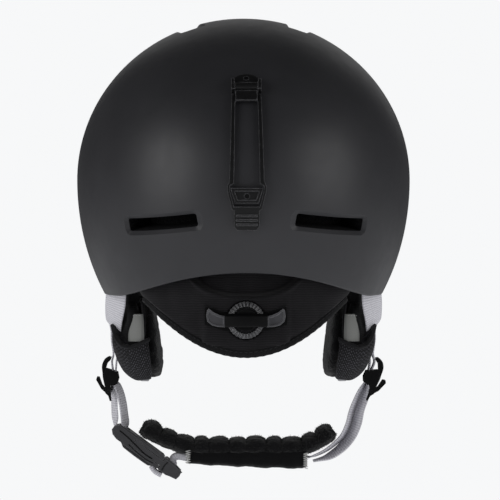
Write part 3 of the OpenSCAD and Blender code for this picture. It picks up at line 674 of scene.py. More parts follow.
def turn(axis, degrees):
    c, s = math.cos(math.radians(degrees)), math.sin(math.radians(degrees))
    if axis == "x":
        return np.array([[1, 0, 0], [0, c, -s], [0, s, c]])
    if axis == "y":
        return np.array([[c, 0, s], [0, 1, 0], [-s, 0, c]])
    return np.array([[c, -s, 0], [s, c, 0], [0, 0, 1]])


def vent_frame(a, t, lean):
    """A vent's centre on the surface, and its axes across, up and out."""
    p = form_point(a, t, 0)
    b = REAR if math.cos(math.radians(a)) > 0 else FRONT
    h = DOME if t < 90 else LOWER
    n = unit([p[0] / HALF_W ** 2, p[1] / b ** 2, (p[2] - BELT) / h ** 2])
    m = (turn("z", math.degrees(math.atan2(-n[0], n[1]))) @ turn("x", math.degrees(math.asin(n[2])))
         @ turn("y", lean))
    return p, m[:, 0], m[:, 2], m[:, 1]


def semi_axes(p, off):
    """The form's half length and half height at points, when it is sunk by off."""
    return np.where(p[:, 1] < 0, REAR, FRONT) - off, np.where(p[:, 2] > BELT, DOME, LOWER) - off


def form_value(p, off):
    """Below 0 inside the form sunk by off, and above 0 outside it."""
    reach, height = semi_axes(p, off)
    e = 2 / PLAN_POWER
    s = ((np.abs(p[:, 0]) / (HALF_W - off)) ** e + (np.abs(p[:, 1]) / reach) ** e) ** (2 / e)
    return s + ((p[:, 2] - BELT) / height) ** 2 - 1


def drop_onto_form(p, n, off):
    """Slides points along n until they lie on the form sunk by off."""
    low, high = np.full(len(p), -60.0), np.full(len(p), 60.0)
    for _ in range(36):
        mid = (low + high) / 2
        inside = form_value(p + mid[:, None] * n, off) < 0
        low, high = np.where(inside, mid, low), np.where(inside, high, mid)
    return p + low[:, None] * n


def rounded_slot(w, h, r):
    """Points evenly round a rounded rectangle, and the outward direction at each."""
    corners = []
    for cx, cy, a0 in ((1, 1, 0), (-1, 1, 90), (-1, -1, 180), (1, -1, 270)):
        for k in range(9):
            a = math.radians(a0 + 90 * k / 8)
            corners.append((cx * (w / 2 - r) + r * math.cos(a), cy * (h / 2 - r) + r * math.sin(a),
                            math.cos(a), math.sin(a)))
    c = np.array(corners + corners[:1])
    d = run_length(c[:, :2])
    s = np.linspace(0, d[-1], OUTLINE_POINTS, endpoint=False)
    pts = np.stack([np.interp(s, d, c[:, k]) for k in range(4)], axis=1)
    return pts[:, :2], unit(pts[:, 2:])


def vent_cutter(side, a, t, lean, w, h, skin, reach_in):
    """A plug that cuts a vent whose mouth is chamfered where it meets the surface at depth skin."""
    p, across, up, out = vent_frame(a, t, lean)
    outline, away = rounded_slot(w, h, SLOT_CORNER)
    inner_end = 1 + LONG_END * np.clip(away[:, :1] * (-1 if across[0] > 0 else 1), 0, 1)
    slope = LIP_WIDTH / LIP_DEPTH
    rows = [(reach_in, 0.0)] + [(depth, 0.0) for depth in np.linspace(skin + 12, skin + LIP_DEPTH + 0.5, 6)]
    rows += [(skin + LIP_DEPTH - rise, 0.2 + rise * slope) for rise in np.linspace(0, LIP_DEPTH + 1.5, 6)]
    rows += [(skin - 9.0, rows[-1][1])]
    rings = []
    for depth, grow in rows:
        q = outline + away * grow * inner_end
        rings.append(drop_onto_form(p + q[:, :1] * across + q[:, 1:] * up, out, depth))
    return loft("cutter", mirrored(rings, side))


def rivet_cutter(z):
    """A hole through the shell and liner for one of the retainer's rivets."""
    arc_y, arc_z, radius = -(REAR - 94.3), BELT - 3.8, 94.8
    lift = math.asin((z - arc_z) / (radius + 3.1))
    out = np.array([0, -math.cos(lift), math.sin(lift)])
    up = np.array([0, math.sin(lift), math.cos(lift)])
    across = np.array([1.0, 0, 0])
    k = turns(32)[:, None]
    rings = [(0, arc_y, arc_z) + out * (radius + rise) + r * (np.cos(k) * across + np.sin(k) * up)
             for rise, r in ((-6.5, 3.5), (-2.4, 3.5), (-2.4, 1.7), (6, 1.7))]
    return loft("cutter", rings, smooth=False)


def cut_with(obj, cutters):
    for cutter in cutters:
        modify(obj, "BOOLEAN", operation="DIFFERENCE", solver="MANIFOLD", object=cutter)
        apply_modifiers(obj)
        bpy.data.objects.remove(cutter)
    return obj


def dome_mesh(name, out, inner, edge_z, lip, cols=240, rows=64):
    """The dome between two depths, with its lower edge rolled over at radius lip."""
    a = 360 * np.arange(cols) / cols
    edge = edge_z(a)
    shares = np.arange(1, rows + 1) / rows
    fall = np.radians(np.linspace(0, 90, 7))

    def skin(off):
        return [form_point(a, level_angle(edge + lip, off) * s, off) for s in shares]

    def roll(off, inwards):
        return [at_level(a, edge + lip * (1 - math.sin(th)), off + inwards * lip * (1 - math.cos(th)))
                for th in fall[1:]]

    rings = skin(out) + roll(out, 1) + roll(inner, -1)[::-1] + skin(inner)[::-1]
    n = len(rings)
    points = np.concatenate([np.concatenate(rings), [form_point(0, 0, out)], [form_point(0, 0, inner)]])
    faces = grid(n, cols)
    for c in range(cols):
        d = (c + 1) % cols
        faces.append((n * cols, d, c))
        faces.append((n * cols + 1, (n - 1) * cols + c, (n - 1) * cols + d))
    return outward(make_mesh(name, points, faces))


def all_vents(skin, reach_in):
    return [vent_cutter(s, *v, skin, reach_in) for s in (-1, 1) for v in VENTS]


def weighted_shading(obj):
    """Even shading: faces with many corners are cut up, and big faces lead the normals."""
    with editing(obj) as bm:
        bmesh.ops.triangulate(bm, faces=[f for f in bm.faces if len(f.verts) > 4])
    smooth_by_angle(obj, 28)
    modify(obj, "WEIGHTED_NORMAL", keep_sharp=True)


ON_FORM = 0.0012     # how far off zero form_value() is for a point that lies on the form
SAME_WAY = 0.93      # cosine between a face and the form where the face is part of it


def form_shading(obj, off):
    """Gives the corners that lie on the form at depth off the form's exact normals."""
    mesh = obj.data
    co = vertex_array(obj)
    e = 2 / PLAN_POWER
    reach, height = semi_axes(co, off)
    x, y, z = co[:, 0] / (HALF_W - off), co[:, 1] / reach, (co[:, 2] - BELT) / height
    lead = 2 * np.maximum(np.abs(x) ** e + np.abs(y) ** e, 1e-9) ** (2 / e - 1)
    exact = unit(np.stack([lead * spow(x, e - 1) / (HALF_W - off), lead * spow(y, e - 1) / reach,
                           2 * z / height], axis=1))
    corners = read(mesh.corner_normals, "vector")
    ids = read(mesh.loops, "vertex_index", 1)[:, 0]
    flat = np.repeat(read(mesh.polygons, "normal"), [p.loop_total for p in mesh.polygons], axis=0)
    near = np.abs(form_value(co, off))[ids] < ON_FORM
    use = near & (np.sum(flat * exact[ids], axis=1) > SAME_WAY)
    mesh.normals_split_custom_set(np.where(use[:, None], exact[ids], corners).tolist())


shell = cut_with(dome_mesh("outer_shell_moulding", 0.0, SHELL_T, rim_z, 1.1),
                 all_vents(0.0, 50.0) + [rivet_cutter(137.2), rivet_cutter(62.5)])
weighted_shading(shell)
apply_modifiers(shell)
form_shading(shell, 0.0)
finish_piece(shell, "helmet", PAINT, ["outer_shell"])

liner = cut_with(dome_mesh("foam_liner_moulding", FOAM_OUT, FOAM_IN, foam_rim_z, 3.0, 200, 52),
                 all_vents(-8.0, 52.0))
weighted_shading(liner)
finish_piece(liner, "helmet", BEADS, ["foam_liner"])


# ---- padding

SIM_FRAMES = 20
SIM_PRESSURE = 4.0


def inflate(obj, voxel, cap):
    """Blows a closed form up as cloth under pressure. No point moves further than cap."""
    scene = bpy.context.scene
    modify(obj, "REMESH", mode="VOXEL", voxel_size=voxel * MM)
    apply_modifiers(obj)
    start = vertex_array(obj)
    cloth = modify(obj, "CLOTH")
    cloth.settings.use_pressure = True
    cloth.settings.uniform_pressure_force = SIM_PRESSURE
    cloth.settings.effector_weights.gravity = 0.0
    cloth.collision_settings.use_collision = False
    cloth.point_cache.frame_start = 1
    cloth.point_cache.frame_end = SIM_FRAMES
    for f in range(1, SIM_FRAMES + 1):
        scene.frame_set(f)
    apply_modifiers(obj)
    scene.frame_set(1)
    moved = vertex_array(obj) - start
    far = np.linalg.norm(moved, axis=1, keepdims=True)
    write_vertices(obj, start + moved * np.minimum(1, cap / np.maximum(far, 1e-6)))
    obj.data.shade_smooth()
    modify(obj, "SUBSURF", levels=1, render_levels=1)
    return apply_modifiers(obj)


def roughen(obj, size, depth, seed, octaves=3):
    """Pushes the surface in and out along its normals, as loose or lumpy cloth is."""
    co = vertex_array(obj)
    write_vertices(obj, co + normal_array(obj) * (wave_noise(co, size, seed, octaves) * depth)[:, None])
    return obj


def pillow(name, outer, inner, rows, cols, channels, groove=1.6):
    """A closed pad between two surfaces, each a function of p and q from -1 to 1. It closes to a
    thin edge all round and dips along channels, which are values of p."""
    edge = 0.12
    p, q = np.meshgrid(*(np.sin(np.radians(np.linspace(-90, 90, n))) for n in (cols, rows)))
    rounder = 1 - 0.1 * (p * q) ** 2
    p, q = p * rounder, q * rounder
    crown = np.sqrt(np.clip(1 - np.abs(p) ** 5, 0, 1) * np.clip(1 - np.abs(q) ** 5, 0, 1))
    crown = edge + (1 - edge) * crown
    near, far = outer(p, q), inner(p, q)
    for c in channels:
        dip = np.exp(-((p - c) / 0.035) ** 2) * np.clip(1 - np.abs(q) ** 6, 0, 1)
        crown = crown - dip * groove / np.linalg.norm(far - near, axis=-1)
    far = near + (far - near) * crown[..., None]
    return outward(make_mesh(name, np.stack([near, far]), slab_faces(rows, cols)))


def padding(obj, mat, node, body="helmet"):
    """Gives a padded piece its material and body, and hides the CAD part that it replaces."""
    finish_piece(obj, body, mat, [node])
    return obj


def liner_pad(name, a1, a2, s1, s2, thick, channels, node):
    """A comfort pad held to the inside of the foam, with sewn channels across it."""
    off = FOAM_IN + 0.6

    def face(depth):
        def at(p, q):
            a = (a1 + a2) / 2 + (a2 - a1) / 2 * p
            s = (s1 + s2) / 2 + (s2 - s1) / 2 * q
            return form_point(a, level_angle(foam_rim_z(a), depth) * s, depth)
        return at

    obj = pillow(name, face(off), face(off + thick), 30, 110, channels)
    padding(roughen(obj, 22, 0.35, len(name)), FLEECE, node)


liner_pad("crown_cushion", -150, 150, 0.06, 0.36, 6, (-0.6, -0.2, 0.2, 0.6), "crown_pad")
liner_pad("brow_cushion", 132, 228, 0.66, 0.99, 7, (-0.5, 0, 0.5), "brow_pad")
liner_pad("side_cushion_right", 72, 122, 0.55, 0.92, 7, (0,), "side_pad_right")
liner_pad("side_cushion_left", -72, -122, 0.55, 0.92, 7, (0,), "side_pad_left")
liner_pad("rear_cushion", -66, 66, 0.62, 0.95, 6, (-0.45, 0, 0.45), "rear_pad")


# ---- neck curtain and nape pad

CURTAIN_R, CURTAIN_TAPER, CURTAIN_TUCK, CURTAIN_T = 98.0, 4.0, 17.0, 3.0
CURTAIN_A, CURTAIN_DROP, NAPE_Y = 47.0, 36.0, -8.0
CURTAIN_TOP = 3.0          # how far it reaches above the shell's edge
SEAM_HALF = 37.0           # half the width of the rolled seam that arches below the edge
DIAL_Z = -16.0
DIAL_WINDOW = 13.0
HOUSING_CLOTH_Y = -101.6   # where the dial's housing holds the cloth
CREASES = ((46, -8, 0.35, -1, 1.2, 3.4), (56, -16, 0.5, -1, 0.7, 2.4), (-42, -18, -0.9, -0.5, 0.8, 3.0),
           (-58, -4, -0.7, -0.8, 0.6, 2.6), (14, -36, 1, 0.12, 0.7, 2.0), (-20, -36, 1, -0.25, 0.6, 2.0))


def curtain_low(a):
    s = np.sin(np.radians(a))
    return -CURTAIN_DROP + 76 * s ** 2 - 40 * s ** 6


def curtain_radius(a, v):
    return CURTAIN_R - CURTAIN_TAPER * v - CURTAIN_TUCK * np.sin(np.radians(a)) ** 4


def curtain_point(a, v, depth):
    r = curtain_radius(a, v) - depth
    z = (rim_z(a) + CURTAIN_TOP) * (1 - v) + curtain_low(a) * v
    return np.stack([r * np.sin(np.radians(a)), NAPE_Y - r * np.cos(np.radians(a)), z], axis=-1)


def seam_z(x):
    """How high the rolled seam runs."""
    return -1.5 + 15 * np.clip((x / SEAM_HALF) ** 2, 0, 1) ** 1.5


def neck_curtain():
    rows, cols = 74, 190
    a, v = np.meshgrid(np.linspace(-CURTAIN_A, CURTAIN_A, cols), np.linspace(0, 1, rows))
    front = curtain_point(a, v, 0)
    x, z = front[..., 0], front[..., 2]
    # A dark recess under the shell's edge, with a rolled seam along its lower side
    arch = 1 - (x / SEAM_HALF) ** 2
    seam = seam_z(x)
    recess = 6.0 * ease(0, 3.2, z - seam) * ease(0, 0.25, arch)
    roll = 0.9 * np.exp(-((z - seam + 1.4) / 1.3) ** 2) * ease(0, 0.2, arch)
    # The cloth is drawn in round the dial, and folds softly away from it
    near_dial = np.maximum(np.abs(x) / 27.5, np.abs(z - DIAL_Z) / 15.5)
    drawn = 0.5 * (1 - ease(0.98, 1.22, near_dial))
    folds = wave_noise(front.reshape(-1, 3) * (1, 1, 0.45), 34, 5, 2).reshape(x.shape)
    for cx, cz, dx, dz, depth, wide in CREASES:
        dx, dz = unit([dx, dz])
        along, across = (x - cx) * dx + (z - cz) * dz, (z - cz) * dx - (x - cx) * dz
        folds += depth * np.exp(-(across / wide) ** 2 - (along / 15) ** 2)
    weight = np.clip(8 * v, 0, 1) * np.clip(8 * (1 - v), 0, 1)
    sink = recess - roll + drawn + (folds - 0.7) * weight + ease(0.9, 1.0, v) * 0.6
    # The dial's housing holds the cloth out, so none of the housing shows round the dial
    most = curtain_radius(a, v) - (NAPE_Y - HOUSING_CLOTH_Y) / np.cos(np.radians(a))
    held = 1 - ease(1.0, 1.3, np.maximum(np.abs(x) / 23, np.abs(z - DIAL_Z) / 14.2))
    sink -= held * np.clip(sink - most, 0, None)
    front = curtain_point(a, v, sink)
    back = curtain_point(a, v, sink + CURTAIN_T - 0.4)
    n = rows * cols
    keep = (np.hypot(x, z - DIAL_Z) > DIAL_WINDOW).ravel()
    faces = []
    open_edges = {}
    for q in grid(rows, cols, wrap=False):
        if keep[list(q)].any():
            faces += [q, tuple(i + n for i in q[::-1])]
            for i, j in zip(q, q[1:] + q[:1]):
                if not open_edges.pop((j, i), False):
                    open_edges[(i, j)] = True
    faces += [(j, i, i + n, j + n) for i, j in open_edges]
    obj = make_mesh("curtain_cloth", np.stack([front, back]), faces)
    with editing(obj) as bm:
        bmesh.ops.delete(bm, geom=[v for v in bm.verts if not v.link_faces], context="VERTS")
    return finish_piece(outward(obj), "helmet", CURTAIN, ["neck_curtain"])


def with_uv(obj, u, v, mat):
    """Gives the piece UVs in millimetres, from u and v at each vertex, and its material."""
    uv = np.stack([np.ravel(u), np.ravel(v)], axis=1)
    ids = read(obj.data.loops, "vertex_index", 1)[:, 0]
    obj.data.uv_layers.new(name="UVMap").data.foreach_set("uv", uv[ids].ravel())
    obj.data.materials.append(mat)
    return outward(obj, weld=False)


def frames_along(path, hint):
    """Directions across and out of a path. The first lies as near hint as it can."""
    along = unit(np.gradient(path, axis=0))
    hint = np.broadcast_to(np.asarray(hint, float), path.shape)
    across = unit(hint - along * np.sum(hint * along, axis=1, keepdims=True))
    return across, np.cross(along, across)


def sweep(name, path, hint, section, mat, looped=False):
    """Sweeps a section, points of (across, out), along a path. section may change along it."""
    path = np.asarray(path, float)
    across, out = frames_along(path, hint)
    section = np.asarray(section, float)
    if section.ndim == 2:
        section = np.broadcast_to(section, (len(path),) + section.shape)
    rings = path[:, None] + section[..., :1] * across[:, None] + section[..., 1:] * out[:, None]
    rows, cols = rings.shape[:2]
    obj = make_mesh(name, rings, tube_faces(rows, cols, looped=looped))
    return with_uv(obj, section[..., 0], np.repeat(run_length(path), cols), mat)


def circle(r, n=12, squash=1.0):
    return np.stack([r * np.cos(turns(n)), r * squash * np.sin(turns(n))], axis=1)


def stitches(name, path, out, length, gap, thick, mat):
    """Separate stitches along a path, each a small rounded bead of thread lying along it."""
    path = np.asarray(path, float)
    s = run_length(path)
    out = np.broadcast_to(np.asarray(out, float), path.shape)
    fat = thick * np.array([0.35, 0.9, 1.0, 0.9, 0.35])[:, None, None]
    section = fat * circle(1.0, 6)[None]
    points, faces = [], []
    for start in np.arange(gap, s[-1] - length, length + gap):
        t = np.linspace(start, start + length, 5)
        centre, normal = (np.stack([np.interp(t, s, row) for row in rows.T], axis=1) for rows in (path, out))
        across, up = frames_along(centre, unit(normal))
        rings = centre[:, None] + section[..., :1] * across[:, None] + section[..., 1:] * up[:, None]
        faces += tube_faces(5, 6, len(points) * 30)
        points.append(rings)
    obj = make_mesh(name, np.array(points), faces)
    nowhere = np.zeros(len(obj.data.vertices))
    return with_uv(obj, nowhere, nowhere, mat)


def curtain_trim():
    a = np.linspace(-CURTAIN_A, CURTAIN_A, 150)
    low = curtain_point(a, 1.0, CURTAIN_T / 2) - (0, 0, 1.6)
    out = level_out(a)
    k = turns(20)
    tall, fat = 2.5, 1.9
    section = np.stack([fat * spow(np.cos(k), 0.8), tall * spow(np.sin(k), 0.8)], axis=1)
    section = np.broadcast_to(section, (150,) + section.shape).copy()
    section[..., 1] += 0.12 * np.sin(a * 2.1)[:, None]
    tape = sweep("curtain_edge_tape", low, out, section, BINDING)
    finish_piece(tape, "helmet", None, ["curtain_binding"])
    thread_path = low + (0, 0, 1.1) + out * 1.75
    thread = stitches("curtain_edge_stitches", thread_path, out, 2.1, 1.1, 0.2, DARK_THREAD)
    finish_piece(thread, "helmet", None)
    x = np.linspace(-SEAM_HALF, SEAM_HALF, 90)
    a = np.degrees(np.arcsin(x / 97))
    top = rim_z(a) + CURTAIN_TOP
    seam = curtain_point(a, (top - seam_z(x) + 1.2) / (top - curtain_low(a)), -0.2)
    piping = sweep("curtain_seam_piping", seam, level_out(a), circle(0.75, 10), PIPING)
    finish_piece(piping, "helmet", None)


curtain = neck_curtain()
curtain_trim()


def nape_cushion():
    def face(r0):
        def at(p, q):
            share = (q + 1) / 2
            z = 4 * (1 - share) + (curtain_low(30 * p) + 6) * share
            return level_out(30 * p) * (r0 - 4 * share)[..., None] + np.stack([0 * z, NAPE_Y + 0 * z, z], -1)
        return at

    obj = inflate(pillow("nape_cushion", face(77), face(71.5), 26, 90, (-0.55, 0, 0.55), 1.4), 2.5, 1.6)
    padding(roughen(obj, 18, 0.3, 9), FLEECE, "nape_pad")


nape_cushion()


# ---- ear pads

EAR_X, EAR_Y, EAR_Z = 69.75, 14.0, -28.7
EAR_T, EAR_L, EAR_H = 13.75, 44.0, 30.0
POCKET_OFF, POCKET_T, POCKET_GAPE = 0.4, 2.6, 4.2
# The gusset that joins pad and liner: height, half thickness and half length of each ring
GUSSET = [(-12, 5.0, 30), (-4, 6.5, 35), (2, 7.5, 37), (7, 8.0, 38)]


def ear_full(v):
    return 0.75 + 0.25 * ease(0.3, 0.52, v)


def ear_middle(y, v):
    """The x of the pad's middle sheet."""
    return EAR_X - 5.5 * ease(0.48, 0.85, v) - 0.0022 * (y - EAR_Y) ** 2


def ear_point(u, v):
    """The right pad's skin: u goes round from the outside, v from its top to its bottom."""
    u, k = np.radians(u), spow(np.sin(np.pi * np.clip(v, 0, 1)), 0.65)
    z = EAR_Z + EAR_H * spow(np.cos(np.pi * v), 0.85)
    y = EAR_Y + EAR_L * k * spow(np.sin(u), 0.8)
    x = ear_middle(y, v) + EAR_T * k * ear_full(v) * spow(np.cos(u), 0.8)
    return np.stack(np.broadcast_arrays(x, y, z), axis=-1)


def ear_normal(u, v):
    """Outward direction of the pad's skin."""
    step = 0.4
    du = ear_point(u + step, v) - ear_point(u - step, v)
    dv = ear_point(u, v + 0.002) - ear_point(u, v - 0.002)
    return unit(np.cross(dv, du))


def ear_half(name, shift, thick_out, thick_in, trim, cap, lumps, mat):
    """A cushion that is one side of the pad, blown up by at most cap. shift moves it outwards."""
    rows, cols = 44, 72
    u = turns(cols)
    rings = []
    for r in range(1, rows):
        v = r / rows
        k = spow(np.sin(np.pi * v), 0.68)
        z = EAR_Z + (EAR_H - trim) * spow(np.cos(np.pi * v), 0.88)
        y = EAR_Y + (EAR_L - trim) * k * spow(np.sin(u), 0.85)
        t = np.where(np.cos(u) > 0, thick_out, thick_in)
        x = ear_middle(y, v) + shift + t * k * ear_full(v) * spow(np.cos(u), 0.85)
        rings.append(np.stack([x, y, np.full(cols, z)], axis=1))
    obj = roughen(inflate(loft(name, rings), 2.6, cap), *lumps)
    obj.data.materials.append(mat)
    return obj


def ear_panel(name, u1, u2, v_top, v_low, off, thick, mat, gape=0.0, bulge=0.0, rows=26, cols=40):
    """A panel of cloth on the pad's skin between two angles. v_top and v_low are numbers or
    functions of u, and it stands off by gape towards its outer end, more at its top."""
    u, s = np.meshgrid(np.linspace(u1, u2, cols), np.linspace(0, 1, rows))
    v_top, v_low = (v(u) if callable(v) else v for v in (v_top, v_low))
    v = v_top * (1 - s) + v_low * s
    edge = 1 - np.abs(2 * s - 1) ** 8
    edge *= np.clip(1 - np.abs(2 * (u - u1) / (u2 - u1) - 1) ** 10, 0, 1)
    stand = thick * (0.45 + 0.55 * edge) + gape * ease(-90, -45, u) * (1 - 0.6 * s) + bulge * edge
    n = ear_normal(u, v)
    front = ear_point(u, v) + n * (off + stand)[..., None]
    back = ear_point(u, v) + n * off
    obj = make_mesh(name, np.stack([front, back]), slab_faces(rows, cols))
    wide = np.stack([run_length(row) for row in front])
    tall = np.stack([run_length(col) for col in front.swapaxes(0, 1)], axis=1)
    with_uv(obj, np.tile(wide - wide[:, -1:] / 2, (2, 1)), np.tile(tall, (2, 1)), mat)
    return smooth_by_angle(obj, 50)


def pocket_top(u):
    """How far down the pad the pocket's hem runs: lowest in the middle, and rising at both ends."""
    return np.interp(u, [-98, -85, -70, -58, -44, -32], [0.51, 0.53, 0.55, 0.54, 0.5, 0.455])


def mirror_piece(obj, name):
    """A copy of a piece on the other side of the helmet."""
    copy = obj.copy()
    copy.data = obj.data.copy()
    copy.name = name
    bpy.context.scene.collection.objects.link(copy)
    with editing(copy) as bm:
        for v in bm.verts:
            v.co.x = -v.co.x
        bmesh.ops.reverse_faces(bm, faces=bm.faces)
    return copy


def on_skin(u, v, off):
    u, v, off = np.broadcast_arrays(np.asarray(u, float), v, off)
    return ear_point(u, v) + ear_normal(u, v) * off[..., None]


def ear_pieces():
    """Everything on the right ear pad: (piece, slot, node that it replaces, how full it is)."""
    cover = ear_half("ear_cover", 4.3, 8.6, 8.2, 0.9, 1.2, (26, 0.45, 11), COVER)
    inner = ear_half("ear_fleece", -4.9, 7.0, 9.4, 2.2, 1.4, (9, 0.42, 12), FLEECE)
    # Piping along the seam between cover and fleece
    k = turns(160)
    z = EAR_Z + (EAR_H - 1.3) * spow(np.cos(k), 0.85)
    y = EAR_Y + (EAR_L - 1.3) * spow(np.sin(k), 0.55)
    x = ear_middle(y, np.arccos(np.cos(k)) / np.pi) - 0.9
    seam = sweep("ear_seam_piping", np.stack([x, y, z], axis=1), (1, 0, 0), circle(1.1, 10), PIPING,
                 looped=True)
    pocket = ear_panel("ear_mesh_pocket", -98, -32, pocket_top, lambda u: 0.69 + 0.14 * ease(-15, -70, u),
                       POCKET_OFF, POCKET_T, MESH_CLOTH, POCKET_GAPE, 0.8)
    u = np.linspace(-99, -31, 70)
    stand = POCKET_OFF + POCKET_T / 2 + POCKET_GAPE * ease(-90, -45, u)
    hem = sweep("ear_pocket_binding", on_skin(u, pocket_top(u), stand), ear_normal(u, pocket_top(u)),
                circle(1.9, 14, 0.72), PIPING)
    label = ear_panel("ear_label", -91, -58, 0.36, 0.52, 0.6, 0.5, LABEL, rows=20, cols=24)
    u = np.linspace(-89, -60, 30)
    thread = stitches("ear_label_stitches", on_skin(u, 0.373, 1.2), ear_normal(u, 0.373), 1.5, 0.8, 0.16,
                      THREAD)
    pull = ear_panel("ear_pull_tab", -96, -62, 0.85, 0.885, 0.5, 0.9, TAB_CLOTH, rows=8, cols=24)
    gusset = loft("ear_gusset", [np.stack([71.5 - 0.12 * z + t * spow(np.cos(k), 0.7),
                                           EAR_Y + 2 + length * spow(np.sin(k), 0.6), 0 * k + z], axis=1)
                                 for z, t, length in GUSSET])
    gusset.data.materials.append(COVER)
    return [(cover, "ear_mesh", "ear_pad", 0.7), (gusset, "fleece", None, None),
            (inner, "fleece", "ear_pad", 0.6), (seam, "binding_tape", None, None),
            (pocket, "ear_mesh", "ear_pocket", None), (hem, "binding_tape", None, None),
            (label, "grey_label", "ear_tab", None), (thread, "webbing", None, None),
            (pull, "webbing", "ear_pull", None)]


def place_ear_pads():
    for right, slot_name, node, fill in ear_pieces():
        base = right.name
        left = mirror_piece(right, base + "_left")
        right.name = base + "_right"
        if base in ("ear_cover", "ear_fleece"):
            roughen(left, 21, 0.4, 17)
        for piece, side in ((right, "right"), (left, "left")):
            finish_piece(piece, "helmet", None, [node + "_" + side] if node else ())


place_ear_pads()


# ---- webbing

STRAP_Y = 4.0
WEB_W, WEB_T = 15.0, 1.3
REAR_ROUTE = [[83.0, -24, 3.0], [83.6, -22.6, -6], [84.9, -15, -19], [84.2, -3, -30], [82.9, 3.4, -41]]
REAR_WIDTH = [[0.85, 0.5, 0], [0.85, 0.5, 0], [0.6, 0.8, 0], [0, 1, 0], [0, 1, 0]]
FRONT_ROUTE = [[81.6, 36, 1.6], [84.2, 28, -8], [86.2, 16, -20], [86.2, 7, -31], [85.3, 4.2, -40.6]]
FRONT_WIDTH = [[0.15, 1, 0.3], [0.1, 1, 0.4], [0, 1, 0.4], [0, 1, 0.3], [0, 1, 0]]


def web_section(width, thick, ribs=4):
    """The webbing's section: rounded edges, and low ridges that run along its faces."""
    top = []
    for u in np.linspace(-width / 2 + 0.5, width / 2 - 0.5, 29):
        ridge = 0.03 * math.cos(2 * math.pi * ribs * (u / width + 0.5))
        top.append((u, thick / 2 - 0.11 + ridge))
    edge = [(width / 2 - 0.14, thick * 0.28), (width / 2, 0), (width / 2 - 0.14, -thick * 0.28)]
    low = [(u, -h) for u, h in reversed(top)]
    other = [(-u, -h) for u, h in edge]
    return np.array(top + edge + low + other)


def webbing(name, path, across, body, nodes=(), thick=WEB_T):
    """Webbing through points, with a ring of vertices each mm. across is how its width lies."""
    p = np.asarray(path, float)
    count = int(run_length(p)[-1]) + 2
    hint = spline(np.broadcast_to(np.asarray(across, float), p.shape), count)
    obj = sweep(name, spline(p, count), hint, web_section(WEB_W, thick), WEBBING)
    return finish_piece(obj, body, None, nodes)


BAR_X, UPPER_BAR, BAR_R = 83.4, -54.0, 1.1
HANG_AT, HANG_TURN = (85.0, -46.0), math.radians(14)


def hung(side, x, z):
    """A point of a divider, given for the left, where the divider on that side has it."""
    if side < 0:
        return [x, z]
    dx, dz = x - HANG_AT[0], z - HANG_AT[1]
    c, n = math.cos(HANG_TURN), math.sin(HANG_TURN)
    return [HANG_AT[0] + dx * c + dz * n, HANG_AT[1] + dz * c - dx * n]


LEVEL = [[0, 1, 0], [0, 1, 0]]
for name, side in SIDES.items():
    bar_x, bar_z = hung(side, BAR_X + 0.4, UPPER_BAR + BAR_R + 0.8)
    for part, route, lie, x, end, nodes in (
            ("rear", REAR_ROUTE, REAR_WIDTH, 0.083, [[83.3, STRAP_Y, -46], [bar_x, STRAP_Y, bar_z]],
             ["rear_strap_" + name, "divider_strap_" + name]),
            ("front", FRONT_ROUTE, FRONT_WIDTH, 0.086,
             [[86.2, STRAP_Y, -46], [bar_x + 1.7, STRAP_Y, bar_z + 0.2]], ["front_strap_" + name])):
        web = webbing(part + "_webbing_" + name, mirrored(route + end, side), mirrored(lie + LEVEL, side),
                      None, nodes)
        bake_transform(web)


# ---- lower straps and chin pad

BUCKLE_AT = np.array([-64.0, -104.7])
BUCKLE_TILT = math.radians(36.5)


def buckle_xz(s, m):
    c, n = math.cos(BUCKLE_TILT), math.sin(BUCKLE_TILT)
    return BUCKLE_AT + s * np.array([c, -n]) + m * np.array([n, c])


def strap(name, points, lean, body, nodes=(), thick=WEB_T):
    """A lower strap through points in X and Z. Its width lies along Y, turned by up to lean midway."""
    turned = np.sin(np.pi * np.arange(len(points)) / (len(points) - 1))
    lie = [[lean * min(1, 2.4 * t), 1, 0] for t in turned]
    return webbing(name, [[p[0], STRAP_Y, p[1]] for p in points], lie, body, nodes, thick)


def lower_straps():
    strap("left_webbing_inner", [[-84.0, -58.6], [-83.0, -61.4], [-80.9, -66], [-79.2, -73], [-78.1, -81],
                                 [-77.6, -87], buckle_xz(-18.4, 0.4)], 0.3, "chin_strap",
          ["lower_strap_left"])
    strap("left_webbing_outer", [[-85.6, -59.4], [-85.2, -64], [-84.8, -68], [-84.6, -76], [-84.2, -83],
                                 buckle_xz(-25.6, 0.6)], -0.24, "chin_strap")
    for layer, points, lean in (
            ("inner", [hung(1, 83.6, -58.6), [77.6, -64.6], [75.4, -69], [71.8, -77.7], [69.3, -86.9],
                       [65, -95.2], [55.6, -103.4], [46, -108], [40, -108.8]], 0.3),
            ("outer", [hung(1, 85.4, -59.4), [79.9, -66], [78.6, -70.4], [76, -77.7], [74, -86.9],
                       [70.2, -95.6], [64, -103], [55.6, -108.6], [46, -111.2]], -0.5)):
        web = strap("right_webbing_" + layer, points, lean, None, ["lower_strap_right_" + layer])
        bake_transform(web)
    strap("pad_webbing", [buckle_xz(19.6, 2.8), [-45.2, -110.4], [-42, -108.2], [-37, -107.9],
                          [-30, -108.8], [-20, -108.9], [0, -108.9], [20, -108.9], [39.6, -108.9]], 0.0,
          "chin_pad", ["pad_strap"])
    strap("pad_webbing_fold", [buckle_xz(20.0, 3.8), [-46.2, -109.6], [-42.6, -107.8], [-36.6, -109.0]], 0.0,
          "chin_pad", thick=4.6)
    strap("pad_webbing_loop", [buckle_xz(8.6, -5.8), buckle_xz(12.6, -7.0), buckle_xz(17.4, -6.4)], 0.0,
          "chin_pad", thick=3.2)


lower_straps()

